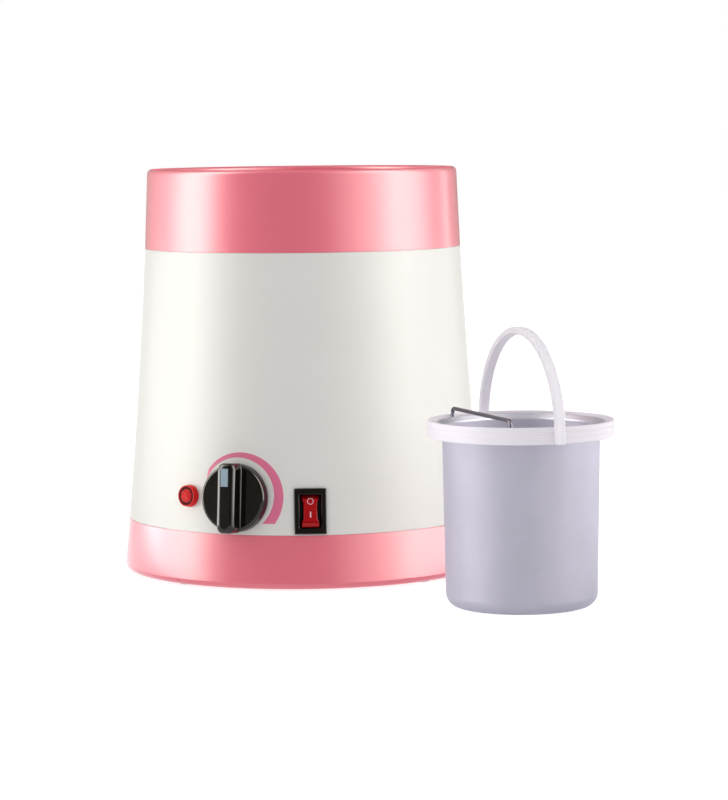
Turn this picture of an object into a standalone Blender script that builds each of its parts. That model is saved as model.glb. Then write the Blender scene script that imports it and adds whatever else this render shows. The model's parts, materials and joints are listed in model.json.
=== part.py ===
"""A wax heater with a lift-out bucket, in metres, +Z up.

The origin is on the table under the middle of the heater, and -Y is the side with the
controls. The heater is a stack of three flared shells on a bottom plate, clamped by tie rods.
An aluminium well hangs from the deck of the collar, with the heater band round it. The bucket
stands beside the heater at rest and fits the well.
"""

import math

import bmesh
import bpy
from mathutils import Matrix, Vector

# General sizes
gap = 0.0003
cut_overrun = 0.004
weld_distance = 0.00001
round_steps = 40
inner_steps = 28
small_round_steps = 16
wire_steps = 10

# Heater shells
heater_height = 0.260
top_radius = 0.1000
base_spread = 0.0184
flare_share = 0.455
shell_wall = 0.0028
foot_stand = 0.0015
base_line_height = 0.035
collar_height = 0.051
base_corner_radius = 0.004
rim_corner_radius = 0.003
spigot_wall = 0.0020
spigot_height = 0.0040
spigot_root = 0.0050
wall_rows = 3
corner_rows = 2

# Collar rim and deck
rim_land_width = 0.0085
rim_wall = 0.0025
deck_drop = 0.0090
deck_thickness = 0.0025

# Bottom plate, feet and tie rods
plate_thickness = 0.0030
plate_edge_clearance = 0.0005
flange_place_share = 0.3165
plate_lap = 0.0080
plate_lap_thickness = 0.0018
foot_count = 4
foot_clearance = 0.0012
foot_pad_radius = 0.0070
foot_stem_radius = 0.0025
foot_barb_radius = 0.0038
foot_barb_height = 0.0022
tie_count = 3
tie_place_share = 0.5725
tie_first_angle = math.radians(-20)
tie_rod_radius = 0.0020
tie_head_radius = 0.0040
tie_head_height = 0.0015
tie_boss_radius = 0.0050
tie_boss_height = 0.0100
tie_boss_floor = 0.0020

# Inner well, its ring, the heater band and the insulation
well_clearance = 0.0029
well_wall = 0.0015
well_floor_clearance = 0.0040
well_corner_radius = 0.0060
well_flange_lap = 0.0055
well_ring_width = 0.0080
well_ring_thickness = 0.0030
band_thickness = 0.0025
band_height = 0.050
band_floor_rise = 0.012
band_slot = 0.0050
lug_length = 0.0090
lug_thickness = 0.0025
lug_height = 0.016
band_bolt_radius = 0.0015
band_bolt_head_radius = 0.0028
band_bolt_head_height = 0.0022
band_post_size = (0.0060, 0.0060, 0.0100)
band_post_side = 0.0120
insulation_thickness = 0.0100
insulation_fit = 0.0003
insulation_end_rise = 0.0050
insulation_slot = 0.036

# Bulb, cut-out and strap under the well
bulb_radius = 0.0030
bulb_length = 0.050
bulb_side = 0.0120
cutout_radius = 0.0080
cutout_height = 0.0060
cutout_side = 0.0100
strap_width = 0.0100
strap_thickness = 0.0012
strap_span = 0.064

# Places of the controls on the body: angle round from the front, and height
knob_angle = math.radians(-21.2)
knob_height = 0.0579
lamp_angle = math.radians(-38.5)
lamp_height = 0.0574
switch_angle = math.radians(2.5)
switch_height = 0.0500
inlet_angle = math.pi
inlet_height = 0.0620

# Thermostat
bush_radius = 0.0045
bush_stand = 0.0026
bush_shoulder_radius = 0.0070
bush_shoulder_height = 0.0030
thermostat_radius = 0.0190
thermostat_depth = 0.0180
thermostat_corner = 0.0020
shaft_radius = 0.0030
shaft_flat = 0.0009
shaft_reach = 0.0125
shaft_depth = 0.0160
nut_radius = 0.0070
nut_height = 0.0018
nut_sides = 6
tab_size = (0.0048, 0.0008, 0.0080)
tab_side = 0.0090

# Knob
knob_radius = 0.0209
knob_foot_radius = 0.0215
knob_lift = 0.0009
knob_face_height = 0.0072
knob_edge = 0.0008
knob_skirt_wall = 0.0016
knob_face_wall = 0.0018
knob_hub_radius = 0.0060
knob_hub_lift = 0.0031
knob_bar_width = 0.0116
knob_bar_height = 0.0112
knob_bar_length = 0.0436
knob_bar_round = 0.0022
pointer_width = 0.0050
pointer_length = 0.0112
pointer_end_space = 0.0034
pointer_side = 0.0007
pointer_thickness = 0.0010
pointer_sink = 0.0008

# Pilot lamp
lamp_flange_radius = 0.0069
lamp_flange_height = 0.0016
lamp_ring_radius = 0.0066
lamp_ring_height = 0.0044
lamp_dome_radius = 0.0054
lamp_dome_height = 0.0054
lamp_stem_radius = 0.0046
lamp_stem_depth = 0.0090
lamp_body_depth = 0.0130
lamp_nut_radius = 0.0074
lamp_nut_height = 0.0030

# Rocker switch
bezel_width = 0.0200
bezel_height = 0.0282
bezel_thickness = 0.0022
bezel_edge = 0.0006
seat_sink = 0.0006
switch_body_width = 0.0172
switch_body_height = 0.0244
switch_body_depth = 0.0180
switch_wall = 0.0016
rocker_width = 0.0116
rocker_clearance = 0.0004
rocker_reach = 0.0101
rocker_pivot_depth = 0.0014
rocker_face_height = 0.0029
rocker_back_depth = 0.0040
rocker_peg_radius = 0.0015
rocker_peg_length = 0.0016
rocker_tilt = math.radians(9.5)
rocker_end_rows = 5
switch_tab_size = (0.0062, 0.0008, 0.0080)
switch_tab_spread = 0.0060

# Mains inlet
inlet_face_width = 0.0310
inlet_face_height = 0.0245
inlet_face_thickness = 0.0020
inlet_body_width = 0.0275
inlet_body_height = 0.0200
inlet_depth = 0.0185
inlet_wall = 0.0015
inlet_back_wall = 0.0020
inlet_sink = 0.0011
inlet_edge = 0.0008
pin_width = 0.0020
pin_height = 0.0040
pin_spacing = 0.0070
pin_offset = 0.0020
pin_front_space = 0.0030
pin_tail = 0.0080

# Terminal block and leads
block_size = (0.034, 0.018, 0.014)
block_place = (0.0, 0.012)
block_edge = 0.0010
block_pole_spacing = 0.0100
lead_radius = 0.0011
capillary_radius = 0.0008
lead_rows = 9
lead_pull = 0.030

# Bucket
bucket_place = (0.132, -0.175)
bucket_turn = math.radians(20)
pot_height = 0.1106
pot_top_radius = 0.0471
pot_base_radius = 0.0454
pot_wall = 0.0012
pot_corner_radius = 0.0080
pot_lip_radius = 0.0502
pot_lip_drop = 0.0030
pot_corner_rows = 3
ring_radius = 0.0556
ring_height = 0.0102
ring_stand = 0.0013
ring_outer_wall = 0.0018
ring_edge = 0.0006
bail_thickness = 0.0044
bail_width = 0.0060
bail_leg = 0.0020
bail_end = 0.0026
bail_arc_rows = 24
bail_edge = 0.0005
peg_radius = 0.0018
peg_length = 0.0034
peg_height = 0.0028
scraper_radius = 0.0012
scraper_rise = 0.0050
scraper_offset_share = 0.51
scraper_bend_radius = 0.0030
scraper_bend_rows = 5

# Sizes that follow from these
base_radius = top_radius + base_spread
collar_line_height = heater_height - collar_height
base_inner_radius = base_radius - shell_wall - base_corner_radius
land_radius = top_radius - rim_land_width
plate_bottom = foot_stand
plate_top = plate_bottom + plate_thickness
flange_top = foot_stand + shell_wall
deck_top = heater_height - deck_drop
deck_underside = deck_top - deck_thickness
well_radius = pot_top_radius + well_clearance
ring_drop = ring_height - ring_stand
well_depth = pot_height - ring_drop + well_floor_clearance
well_flange_radius = ring_radius + well_flange_lap
well_top = deck_top + gap + well_wall
well_floor = well_top - well_depth
well_underside = well_floor - well_wall
well_outer = well_radius + well_wall
band_low = well_floor + band_floor_rise
sleeve_inner = well_outer + gap + band_thickness + insulation_fit
sleeve_outer = sleeve_inner + insulation_thickness
tie_circle_radius = sleeve_outer + tie_place_share * (land_radius - sleeve_outer)
flange_inner_radius = tie_circle_radius + flange_place_share * (base_inner_radius - tie_circle_radius)
plate_radius = flange_inner_radius - plate_edge_clearance
plate_lap_radius = plate_radius + plate_lap
foot_circle_radius = plate_lap_radius + foot_barb_radius + foot_clearance
ring_inner_radius = pot_top_radius + gap
ring_bottom = pot_height - ring_drop
ring_top = pot_height + ring_stand
groove_floor = pot_height - pot_lip_drop - gap
bail_inner_radius = ring_radius + gap
bail_outer_radius = bail_inner_radius + bail_thickness
peg_level = ring_bottom + peg_height


def shell_radius(height):
    """Outer radius of the heater at a height: it flares towards the table."""
    down = 1 - height / heater_height
    flare = (1 - flare_share) * down + flare_share * down**2
    return top_radius + base_spread * flare


def shell_lean(height):
    """Angle by which the wall leans inwards at a height."""
    slope = (1 - flare_share) + 2 * flare_share * (1 - height / heater_height)
    return math.atan(base_spread / heater_height * slope)


def wall_fall(half_width):
    """How far the round wall, with its flats between steps, falls back within a half width."""
    fall = base_radius - math.sqrt(base_radius**2 - half_width**2)
    return fall + base_radius * (1 - math.cos(math.pi / round_steps))


def seat(angle, height):
    """Frame on the outside of the shell: +Z straight out of the wall, +Y up it."""
    radius = shell_radius(height)
    place = Vector((radius * math.sin(angle), -radius * math.cos(angle), height))
    turn = Matrix.Rotation(angle, 4, "Z")
    stand = Matrix.Rotation(math.pi / 2 - shell_lean(height), 4, "X")
    return Matrix.Translation(place) @ turn @ stand


def shift(x=0.0, y=0.0, z=0.0):
    return Matrix.Translation((x, y, z))


def clear_scene():
    for obj in list(bpy.data.objects):
        bpy.data.objects.remove(obj, do_unlink=True)


def new_collection(name):
    collection = bpy.data.collections.new(name)
    bpy.context.scene.collection.children.link(collection)
    return collection


def finish_material(name, colour, roughness, metallic=0.0, alpha=1.0):
    material = bpy.data.materials.new(name)
    material.use_nodes = True
    shader = material.node_tree.nodes["Principled BSDF"]
    shader.inputs["Base Color"].default_value = (*colour, 1.0)
    shader.inputs["Roughness"].default_value = roughness
    shader.inputs["Metallic"].default_value = metallic
    shader.inputs["Alpha"].default_value = alpha
    material.diffuse_color = (*colour, 1.0)
    return material


clear_scene()
parts = new_collection("wax_heater")
cutters = new_collection("cutters")

pink = finish_material("pink_plastic", (0.86, 0.30, 0.40), 0.25)
white = finish_material("white_plastic", (0.90, 0.90, 0.87), 0.30)
black = finish_material("black_plastic", (0.012, 0.011, 0.011), 0.15)
pale = finish_material("pointer_plastic", (0.42, 0.52, 0.60), 0.35)
red = finish_material("red_lens", (0.75, 0.02, 0.03), 0.15, alpha=0.85)
bucket_white = finish_material("bucket_plastic", (0.88, 0.84, 0.87), 0.35)
aluminium = finish_material("aluminium", (0.66, 0.66, 0.74), 0.38, metallic=1.0)
steel = finish_material("steel", (0.45, 0.45, 0.46), 0.28, metallic=1.0)
brass = finish_material("brass", (0.72, 0.55, 0.25), 0.30, metallic=1.0)
copper = finish_material("copper", (0.75, 0.38, 0.22), 0.35, metallic=1.0)
rubber = finish_material("rubber", (0.03, 0.03, 0.03), 0.80)
wool = finish_material("wool", (0.78, 0.75, 0.66), 0.95)
mica = finish_material("mica", (0.55, 0.47, 0.35), 0.50)
cream = finish_material("cream_plastic", (0.80, 0.77, 0.68), 0.45)
lead_cover = finish_material("lead_cover", (0.62, 0.12, 0.10), 0.45)


def add_object(name, data, material=None, matrix=None):
    """Link a part, or a cutter when it has no material."""
    obj = bpy.data.objects.new(name, data)
    if material:
        parts.objects.link(obj)
        data.materials.append(material)
    else:
        cutters.objects.link(obj)
        obj.hide_render = True
        obj.display_type = "WIRE"
    if matrix:
        obj.matrix_world = matrix
    return obj


def smooth(mesh):
    mesh.shade_smooth()
    mesh.set_sharp_from_angle(angle=math.radians(35))


def bevel(obj, width, rows=2):
    modifier = obj.modifiers.new("Edges", "BEVEL")
    modifier.width = width
    modifier.segments = rows
    modifier.limit_method = "ANGLE"
    modifier.angle_limit = math.radians(40)


def turned(name, outline, material=None, matrix=None, ring=False, steps=round_steps):
    """Turn (radius, height) points about Z. A ring is a closed outline clear of the axis."""
    mesh = bpy.data.meshes.new(name)
    points = [(radius, 0.0, height) for radius, height in outline]
    edges = [(i, i + 1) for i in range(len(points) - 1)]
    if ring:
        edges.append((len(points) - 1, 0))
    mesh.from_pydata(points, edges, [])
    obj = add_object(name, mesh, material, matrix)
    screw = obj.modifiers.new("Turn", "SCREW")
    screw.steps = steps
    screw.render_steps = steps
    screw.use_merge_vertices = True
    screw.merge_threshold = weld_distance
    screw.use_smooth_shade = True
    return obj


def block(name, size, material=None, matrix=None, edge=0.0):
    mesh = bpy.data.meshes.new(name)
    shape = bmesh.new()
    bmesh.ops.create_cube(shape, size=1, matrix=Matrix.Diagonal((*size, 1)))
    shape.to_mesh(mesh)
    shape.free()
    obj = add_object(name, mesh, material, matrix)
    if edge:
        bevel(obj, edge)
    return obj


def rod(name, radius, length, material=None, matrix=None, steps=small_round_steps):
    """A cylinder along Z, from 0 to its length."""
    mesh = bpy.data.meshes.new(name)
    shape = bmesh.new()
    bmesh.ops.create_cone(
        shape, cap_ends=True, segments=steps, radius1=radius, radius2=radius, depth=length,
        matrix=shift(z=length / 2),
    )
    shape.to_mesh(mesh)
    shape.free()
    smooth(mesh)
    return add_object(name, mesh, material, matrix)


def plate_of(name, outline, thickness, material=None, matrix=None, edge=0.0):
    """A flat outline in XY, as thick along Z either side of it, made a mesh."""
    curve = bpy.data.curves.new(name, "CURVE")
    curve.dimensions = "2D"
    curve.fill_mode = "BOTH"
    curve.extrude = thickness / 2
    spline = curve.splines.new("POLY")
    spline.points.add(len(outline) - 1)
    for point, (x, y) in zip(spline.points, outline):
        point.co = (x, y, 0.0, 1.0)
    spline.use_cyclic_u = True
    obj = as_mesh(name, curve, material, matrix)
    if edge:
        bevel(obj, edge, 1)
    return obj


def wire(name, points, radius, material, matrix=None):
    """A round wire with closed ends through the points."""
    curve = bpy.data.curves.new(name, "CURVE")
    curve.dimensions = "3D"
    curve.bevel_depth = radius
    curve.bevel_resolution = 2
    curve.use_fill_caps = True
    spline = curve.splines.new("POLY")
    spline.points.add(len(points) - 1)
    for point, place in zip(spline.points, points):
        point.co = (*place, 1.0)
    return as_mesh(name, curve, material, matrix)


def as_mesh(name, curve, material, matrix):
    """The curve's solid as a mesh with its caps welded."""
    guide = bpy.data.objects.new(name + "_guide", curve)
    cutters.objects.link(guide)
    bpy.context.view_layer.update()
    graph = bpy.context.evaluated_depsgraph_get()
    mesh = bpy.data.meshes.new_from_object(guide.evaluated_get(graph))
    bpy.data.objects.remove(guide, do_unlink=True)
    shape = bmesh.new()
    shape.from_mesh(mesh)
    bmesh.ops.remove_doubles(shape, verts=shape.verts, dist=weld_distance)
    bmesh.ops.recalc_face_normals(shape, faces=shape.faces)
    shape.to_mesh(mesh)
    shape.free()
    mesh.materials.clear()
    smooth(mesh)
    return add_object(name, mesh, material, matrix)


def combine(obj, other, operation):
    modifier = obj.modifiers.new(other.name, "BOOLEAN")
    modifier.operation = operation
    modifier.solver = "EXACT"
    modifier.object = other


def cut(obj, other):
    combine(obj, other, "DIFFERENCE")


def join(obj, other):
    combine(obj, other, "UNION")


def arc(centre, radius, start, stop, rows):
    """Points on an arc of a profile, both ends included; angles in degrees."""
    angles = [math.radians(start + (stop - start) * i / rows) for i in range(rows + 1)]
    return [(centre[0] + radius * math.cos(a), centre[1] + radius * math.sin(a)) for a in angles]


def wall_points(low, high, inset=0.0):
    """The flare of the shell between two heights, from the lower one up."""
    heights = [low + (high - low) * i / wall_rows for i in range(wall_rows + 1)]
    return [(shell_radius(height) - inset, height) for height in heights]


def spigot_radii(height):
    """Outer and inner radius of the lip that one shell pushes into the next."""
    outer = shell_radius(height) - shell_wall - gap
    return outer, outer - spigot_wall


def base_shell():
    outer, inner = spigot_radii(base_line_height + spigot_height)
    corner_height = foot_stand + base_corner_radius
    corner = (shell_radius(corner_height) - base_corner_radius, corner_height)
    root = base_line_height - spigot_root
    outline = list(reversed(wall_points(corner[1], base_line_height)))
    outline += arc(corner, base_corner_radius, 0, -90, corner_rows)[1:]
    outline += [
        (flange_inner_radius, foot_stand),
        (flange_inner_radius, flange_top),
        (shell_radius(flange_top) - base_corner_radius - shell_wall, flange_top),
        (shell_radius(flange_top) - base_corner_radius, flange_top + shell_wall),
        (shell_radius(root - shell_wall) - shell_wall, root - shell_wall),
        (inner, root),
        (inner, base_line_height + spigot_height),
        (outer, base_line_height + spigot_height),
        (outer, base_line_height),
    ]
    return turned("base_shell", outline, pink, ring=True)


def body_shell():
    low = base_line_height + gap
    high = collar_line_height - gap
    outline = list(reversed(wall_points(low, high)))
    outline += wall_points(low, high, shell_wall)
    return turned("body_shell", outline, white, ring=True)


def top_collar():
    outer, inner = spigot_radii(collar_line_height)
    corner = (top_radius - rim_corner_radius, heater_height - rim_corner_radius)
    inner_corner = (land_radius + rim_corner_radius, corner[1])
    outline = arc(inner_corner, rim_corner_radius, 180, 90, corner_rows)
    outline += arc(corner, rim_corner_radius, 90, 0, corner_rows)
    outline += list(reversed(wall_points(collar_line_height, corner[1] - rim_wall)))
    outline += [
        (outer, collar_line_height),
        (outer, collar_line_height - spigot_height),
        (inner, collar_line_height - spigot_height),
        (inner, collar_line_height + spigot_root),
        (shell_radius(deck_underside) - shell_wall, collar_line_height + spigot_root + shell_wall),
        (top_radius - shell_wall, heater_height - rim_corner_radius - rim_wall),
        (land_radius + rim_wall, heater_height - rim_corner_radius - rim_wall),
        (land_radius + rim_wall, deck_underside),
        (well_outer + gap, deck_underside),
        (well_outer + gap, deck_top),
        (land_radius, deck_top),
    ]
    collar = turned("top_collar", outline, pink, ring=True)
    for index, place in enumerate(tie_places()):
        reach = tie_boss_height + deck_thickness / 2
        at = place @ shift(z=deck_underside - tie_boss_height)
        join(collar, rod(f"tie_boss_{index + 1}", tie_boss_radius, reach, matrix=at))
        bore_at = at @ shift(z=-cut_overrun)
        bore = cut_overrun + tie_boss_height - tie_boss_floor
        cut(collar, rod(f"tie_bore_{index + 1}", tie_rod_radius + gap, bore, matrix=bore_at))
    return collar


def tie_places():
    step = 2 * math.pi / tie_count
    angles = [tie_first_angle + step * index for index in range(tie_count)]
    return [Matrix.Rotation(angle, 4, "Z") @ shift(x=tie_circle_radius) for angle in angles]


def foot_places():
    step = 2 * math.pi / foot_count
    angles = [step * (index + 0.5) for index in range(foot_count)]
    return [Matrix.Rotation(angle, 4, "Z") @ shift(x=foot_circle_radius) for angle in angles]


def feet(base):
    for index, place in enumerate(foot_places()):
        number = index + 1
        hole_at = place @ shift(z=foot_stand - cut_overrun)
        hole_length = shell_wall + 2 * cut_overrun
        hole = rod(f"foot_hole_{number}", foot_stem_radius + gap, hole_length, matrix=hole_at)
        cut(base, hole)
        barb_low = flange_top + gap
        outline = [
            (0.0, barb_low + foot_barb_height),
            (foot_stem_radius, barb_low + foot_barb_height),
            (foot_barb_radius, barb_low),
            (foot_stem_radius, barb_low),
            (foot_stem_radius, foot_stand - gap),
            (foot_pad_radius, foot_stand - gap),
            (foot_pad_radius - gap, 0.0),
            (0.0, 0.0),
        ]
        turned(f"foot_{number}", outline, rubber, place, steps=small_round_steps)


def bottom_plate():
    lap_low = flange_top + gap
    lap_top = lap_low + plate_lap_thickness
    outline = [
        (0.0, plate_top),
        (plate_radius - plate_lap_thickness, plate_top),
        (plate_radius - plate_lap_thickness, lap_top),
        (plate_lap_radius, lap_top),
        (plate_lap_radius, lap_low),
        (plate_radius, lap_low),
        (plate_radius, plate_bottom),
        (0.0, plate_bottom),
    ]
    plate = turned("bottom_plate", outline, cream, steps=inner_steps)
    for index, place in enumerate(tie_places()):
        below = place @ shift(z=plate_bottom - cut_overrun)
        through = plate_thickness + 2 * cut_overrun
        cut(plate, rod(f"plate_hole_{index + 1}", tie_rod_radius + gap, through, matrix=below))
        sunk = cut_overrun + 2 * gap + tie_head_height
        cut(plate, rod(f"plate_sink_{index + 1}", tie_head_radius + gap, sunk, matrix=below))
    return plate


def tie_rods():
    head_low = plate_bottom + gap
    head_top = head_low + tie_head_height
    end = deck_underside - tie_boss_floor - gap
    outline = [
        (0.0, end),
        (tie_rod_radius, end),
        (tie_rod_radius, head_top),
        (tie_head_radius, head_top),
        (tie_head_radius, head_low),
        (0.0, head_low),
    ]
    for index, place in enumerate(tie_places()):
        turned(f"tie_rod_{index + 1}", outline, steel, place, steps=small_round_steps)


def inner_well():
    floor_corner = (well_radius - well_corner_radius, well_floor + well_corner_radius)
    under_corner_radius = well_corner_radius + well_wall
    outline = [
        (0.0, well_floor),
        *arc(floor_corner, well_corner_radius, -90, 0, corner_rows),
        (well_radius, well_top),
        (well_flange_radius, well_top),
        (well_flange_radius, well_top - well_wall),
        (well_outer, well_top - well_wall),
        *arc(floor_corner, under_corner_radius, 0, -90, corner_rows),
        (0.0, well_underside),
    ]
    return turned("inner_well", outline, aluminium, steps=inner_steps)


def well_ring():
    top = deck_underside - gap
    inner = well_outer + gap
    outline = [
        (inner + well_ring_width, top),
        (inner + well_ring_width, top - well_ring_thickness),
        (inner, top - well_ring_thickness),
        (inner, top),
    ]
    return turned("well_retaining_ring", outline, steel, ring=True, steps=inner_steps)


def heater_band():
    inner = well_outer + gap
    outer = inner + band_thickness
    top = band_low + band_height
    outline = [(outer, top), (outer, band_low), (inner, band_low), (inner, top)]
    band = turned("heater_band", outline, mica, ring=True)
    middle = band_low + band_height / 2
    slot_size = (band_slot, 2 * (band_thickness + cut_overrun), band_height + cut_overrun)
    cut(band, block("band_slot_cutter", slot_size, matrix=shift(y=outer, z=middle)))
    lug_out = outer - band_thickness / 2 + lug_length / 2
    for side, name in ((-1, "left"), (1, "right")):
        lug_x = side * (band_slot + lug_thickness) / 2
        at = shift(x=lug_x, y=lug_out, z=middle)
        join(band, block(f"band_lug_{name}", (lug_thickness, lug_length, lug_height), matrix=at))
    bolt_y = outer + lug_length / 2
    bolt_length = band_slot + 2 * lug_thickness
    post_y = outer - band_thickness / 2 + band_post_size[1] / 2
    post_at = shift(x=-band_post_side, y=post_y, z=band_low + band_post_size[2])
    join(band, block("band_post", band_post_size, matrix=post_at))
    across = Matrix.Rotation(math.pi / 2, 4, "Y")
    start = shift(x=-bolt_length, y=bolt_y, z=middle) @ across
    cut(band, rod("band_bolt_hole", band_bolt_radius + gap, 2 * bolt_length, matrix=start))
    low = -bolt_length / 2 - gap
    high = bolt_length / 2 + gap
    outline = [
        (0.0, high + band_bolt_head_height),
        (band_bolt_head_radius, high + band_bolt_head_height),
        (band_bolt_head_radius, high),
        (band_bolt_radius, high),
        (band_bolt_radius, low),
        (band_bolt_head_radius, low),
        (band_bolt_head_radius, low - band_bolt_head_height),
        (0.0, low - band_bolt_head_height),
    ]
    at = shift(y=bolt_y, z=middle) @ across
    turned("band_bolt", outline, steel, at, steps=wire_steps)
    return band


def insulation_sleeve():
    low = well_floor + insulation_end_rise
    top = deck_underside - well_ring_thickness - insulation_end_rise
    outline = [(sleeve_outer, top), (sleeve_outer, low), (sleeve_inner, low), (sleeve_inner, top)]
    sleeve = turned("insulation_sleeve", outline, wool, ring=True)
    slot_size = (insulation_slot, 2 * insulation_thickness, 2 * (top - low))
    slot_at = shift(y=(sleeve_inner + sleeve_outer) / 2, z=(low + top) / 2)
    cut(sleeve, block("insulation_slot_cutter", slot_size, matrix=slot_at))
    return sleeve


def under_well():
    """Sensor bulb and cut-out under the well, held by one bent strap."""
    top = well_underside - gap
    bulb_at = shift(x=-bulb_length / 2, y=-bulb_side, z=top - bulb_radius)
    along = Matrix.Rotation(math.pi / 2, 4, "Y")
    rod("sensor_bulb", bulb_radius, bulb_length, copper, bulb_at @ along, wire_steps)
    cutout_at = shift(y=cutout_side, z=top - cutout_height)
    rod("thermal_cutout", cutout_radius, cutout_height, steel, cutout_at)
    strap_top = top - cutout_height - gap
    bar_size = (strap_width, strap_span, strap_thickness)
    strap_at = shift(z=strap_top - strap_thickness / 2)
    strap = block("sensor_strap", bar_size, steel, strap_at)
    leg_height = top - strap_top + strap_thickness
    for side, name in ((-1, "front"), (1, "back")):
        leg_y = side * (strap_span - strap_thickness) / 2
        leg_at = shift(y=leg_y, z=top - leg_height / 2)
        join(strap, block(f"strap_leg_{name}", (strap_width, strap_thickness, leg_height), matrix=leg_at))


def flat_seat(shell, name, frame, width, height, sink):
    """Mill a flat into the curved wall for a bezel, from the crown down."""
    size = (width + 2 * gap, height + 2 * gap, 2 * cut_overrun)
    cut(shell, block(name, size, matrix=frame @ shift(z=cut_overrun - sink)))


def d_rod(name, radius, flat, length, material=None, matrix=None):
    """A rod along Z with one flat along its whole length, on the +Y side."""
    obj = rod(name, radius, length, material, matrix)
    size = (2 * cut_overrun, cut_overrun, length + 2 * cut_overrun)
    flat_at = shift(y=radius - flat + cut_overrun / 2, z=length / 2)
    cut(obj, block(name + "_flat", size, matrix=(matrix or Matrix()) @ flat_at))
    return obj


def thermostat_body(shell):
    """Body behind the wall, with the bush that passes through it and takes the nut."""
    frame = seat(knob_angle, knob_height)
    inside = -shell_wall - gap - wall_fall(bush_shoulder_radius)
    front = inside - bush_shoulder_height
    back = front - thermostat_depth
    bore = shaft_radius + gap
    hole_at = frame @ shift(z=inside - cut_overrun)
    hole_length = shell_wall + 2 * cut_overrun
    cut(shell, rod("bush_hole", bush_radius + gap, hole_length, matrix=hole_at))
    outline = [
        (0.0, -shaft_depth - gap),
        (bore, -shaft_depth - gap),
        (bore, bush_stand),
        (bush_radius, bush_stand),
        (bush_radius, inside),
        (bush_shoulder_radius, inside),
        (bush_shoulder_radius, front),
        (thermostat_radius - thermostat_corner, front),
        (thermostat_radius, front - thermostat_corner),
        (thermostat_radius, back),
        (0.0, back),
    ]
    turned("thermostat_body", outline, cream, frame, steps=inner_steps)
    shaft_at = frame @ shift(z=-shaft_depth)
    d_rod("thermostat_shaft", shaft_radius, shaft_flat, shaft_depth + shaft_reach, brass, shaft_at)
    nut_at = frame @ shift(z=gap)
    nut = rod("thermostat_nut", nut_radius, nut_height, brass, nut_at, nut_sides)
    nut_bore_at = frame @ shift(z=-cut_overrun)
    nut_bore = nut_height + 3 * cut_overrun
    cut(nut, rod("nut_bore", bush_radius + gap, nut_bore, matrix=nut_bore_at))
    for side, number in ((-1, 1), (1, 2)):
        tab_at = frame @ shift(x=side * tab_side, z=back - gap - tab_size[2] / 2)
        block(f"thermostat_tab_{number}", tab_size, brass, tab_at)
    return frame, back


def knob():
    """Round knob with a hollow skirt, a grip bar across its face and an inlaid pointer."""
    frame = seat(knob_angle, knob_height)
    underside = knob_face_height - knob_face_wall
    outline = [
        (0.0, knob_face_height),
        (knob_radius - knob_edge, knob_face_height),
        (knob_radius, knob_face_height - knob_edge),
        (knob_foot_radius, knob_lift),
        (knob_foot_radius - knob_skirt_wall, knob_lift),
        (knob_radius - knob_skirt_wall, underside),
        (knob_hub_radius, underside),
        (knob_hub_radius, knob_hub_lift),
        (0.0, knob_hub_lift),
    ]
    body = turned("knob", outline, black, frame)
    bar_height = knob_bar_height + knob_face_wall / 2
    bar_top = knob_face_height + knob_bar_height
    bar_at = frame @ shift(z=bar_top - bar_height / 2)
    bar = block("knob_bar", (knob_bar_width, knob_bar_length, bar_height), matrix=bar_at)
    bevel(bar, knob_bar_round)
    bound_at = frame @ shift(z=knob_face_height - cut_overrun)
    bound_height = knob_bar_height + 2 * cut_overrun
    bound = rod("knob_bound", knob_bar_length / 2, bound_height, matrix=bound_at, steps=round_steps)
    combine(bar, bound, "INTERSECT")
    join(body, bar)
    bore_at = frame @ shift(z=-cut_overrun)
    bore_length = cut_overrun + shaft_reach + gap
    cut(body, d_rod("knob_bore", shaft_radius + gap, shaft_flat, bore_length, matrix=bore_at))
    pointer_y = knob_bar_length / 2 - pointer_end_space - pointer_length / 2
    pocket_floor = bar_top - pointer_sink - gap
    pocket_size = (pointer_width + 2 * gap, pointer_length + 2 * gap, 2 * cut_overrun)
    pocket_at = frame @ shift(-pointer_side, pointer_y, pocket_floor + cut_overrun)
    cut(body, block("pointer_pocket", pocket_size, matrix=pocket_at))
    pointer_size = (pointer_width, pointer_length, pointer_thickness)
    pointer_level = pocket_floor + gap + pointer_thickness / 2
    pointer_at = frame @ shift(-pointer_side, pointer_y, pointer_level)
    block("knob_pointer", pointer_size, pale, pointer_at)


def pilot_lamp(shell):
    frame = seat(lamp_angle, lamp_height)
    hole_at = frame @ shift(z=-shell_wall - cut_overrun)
    hole_length = shell_wall + 2 * cut_overrun
    cut(shell, rod("lamp_hole", lamp_stem_radius + gap, hole_length, matrix=hole_at))
    dome_rise = lamp_dome_height - lamp_ring_height
    dome = [
        (lamp_dome_radius * math.sin(turn), lamp_ring_height + dome_rise * math.cos(turn))
        for turn in (math.pi / 2 * row / corner_rows for row in range(corner_rows + 1))
    ]
    outline = dome + [
        (lamp_ring_radius, lamp_ring_height),
        (lamp_ring_radius, lamp_flange_height),
        (lamp_flange_radius, lamp_flange_height - gap),
        (lamp_flange_radius, gap),
        (lamp_stem_radius, gap),
        (lamp_stem_radius, -lamp_stem_depth),
        (0.0, -lamp_stem_depth),
    ]
    turned("lamp_lens", outline, red, frame, steps=small_round_steps)
    body_at = frame @ shift(z=-lamp_stem_depth - gap - lamp_body_depth)
    rod("lamp_body", lamp_stem_radius, lamp_body_depth, cream, body_at)
    nut_top = -shell_wall - gap - wall_fall(lamp_nut_radius)
    inner = lamp_stem_radius + gap
    outline = [
        (lamp_nut_radius, nut_top),
        (lamp_nut_radius, nut_top - lamp_nut_height),
        (inner, nut_top - lamp_nut_height),
        (inner, nut_top),
    ]
    turned("lamp_nut", outline, black, frame, ring=True, steps=small_round_steps)
    return frame, -lamp_stem_depth - gap - lamp_body_depth


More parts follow.
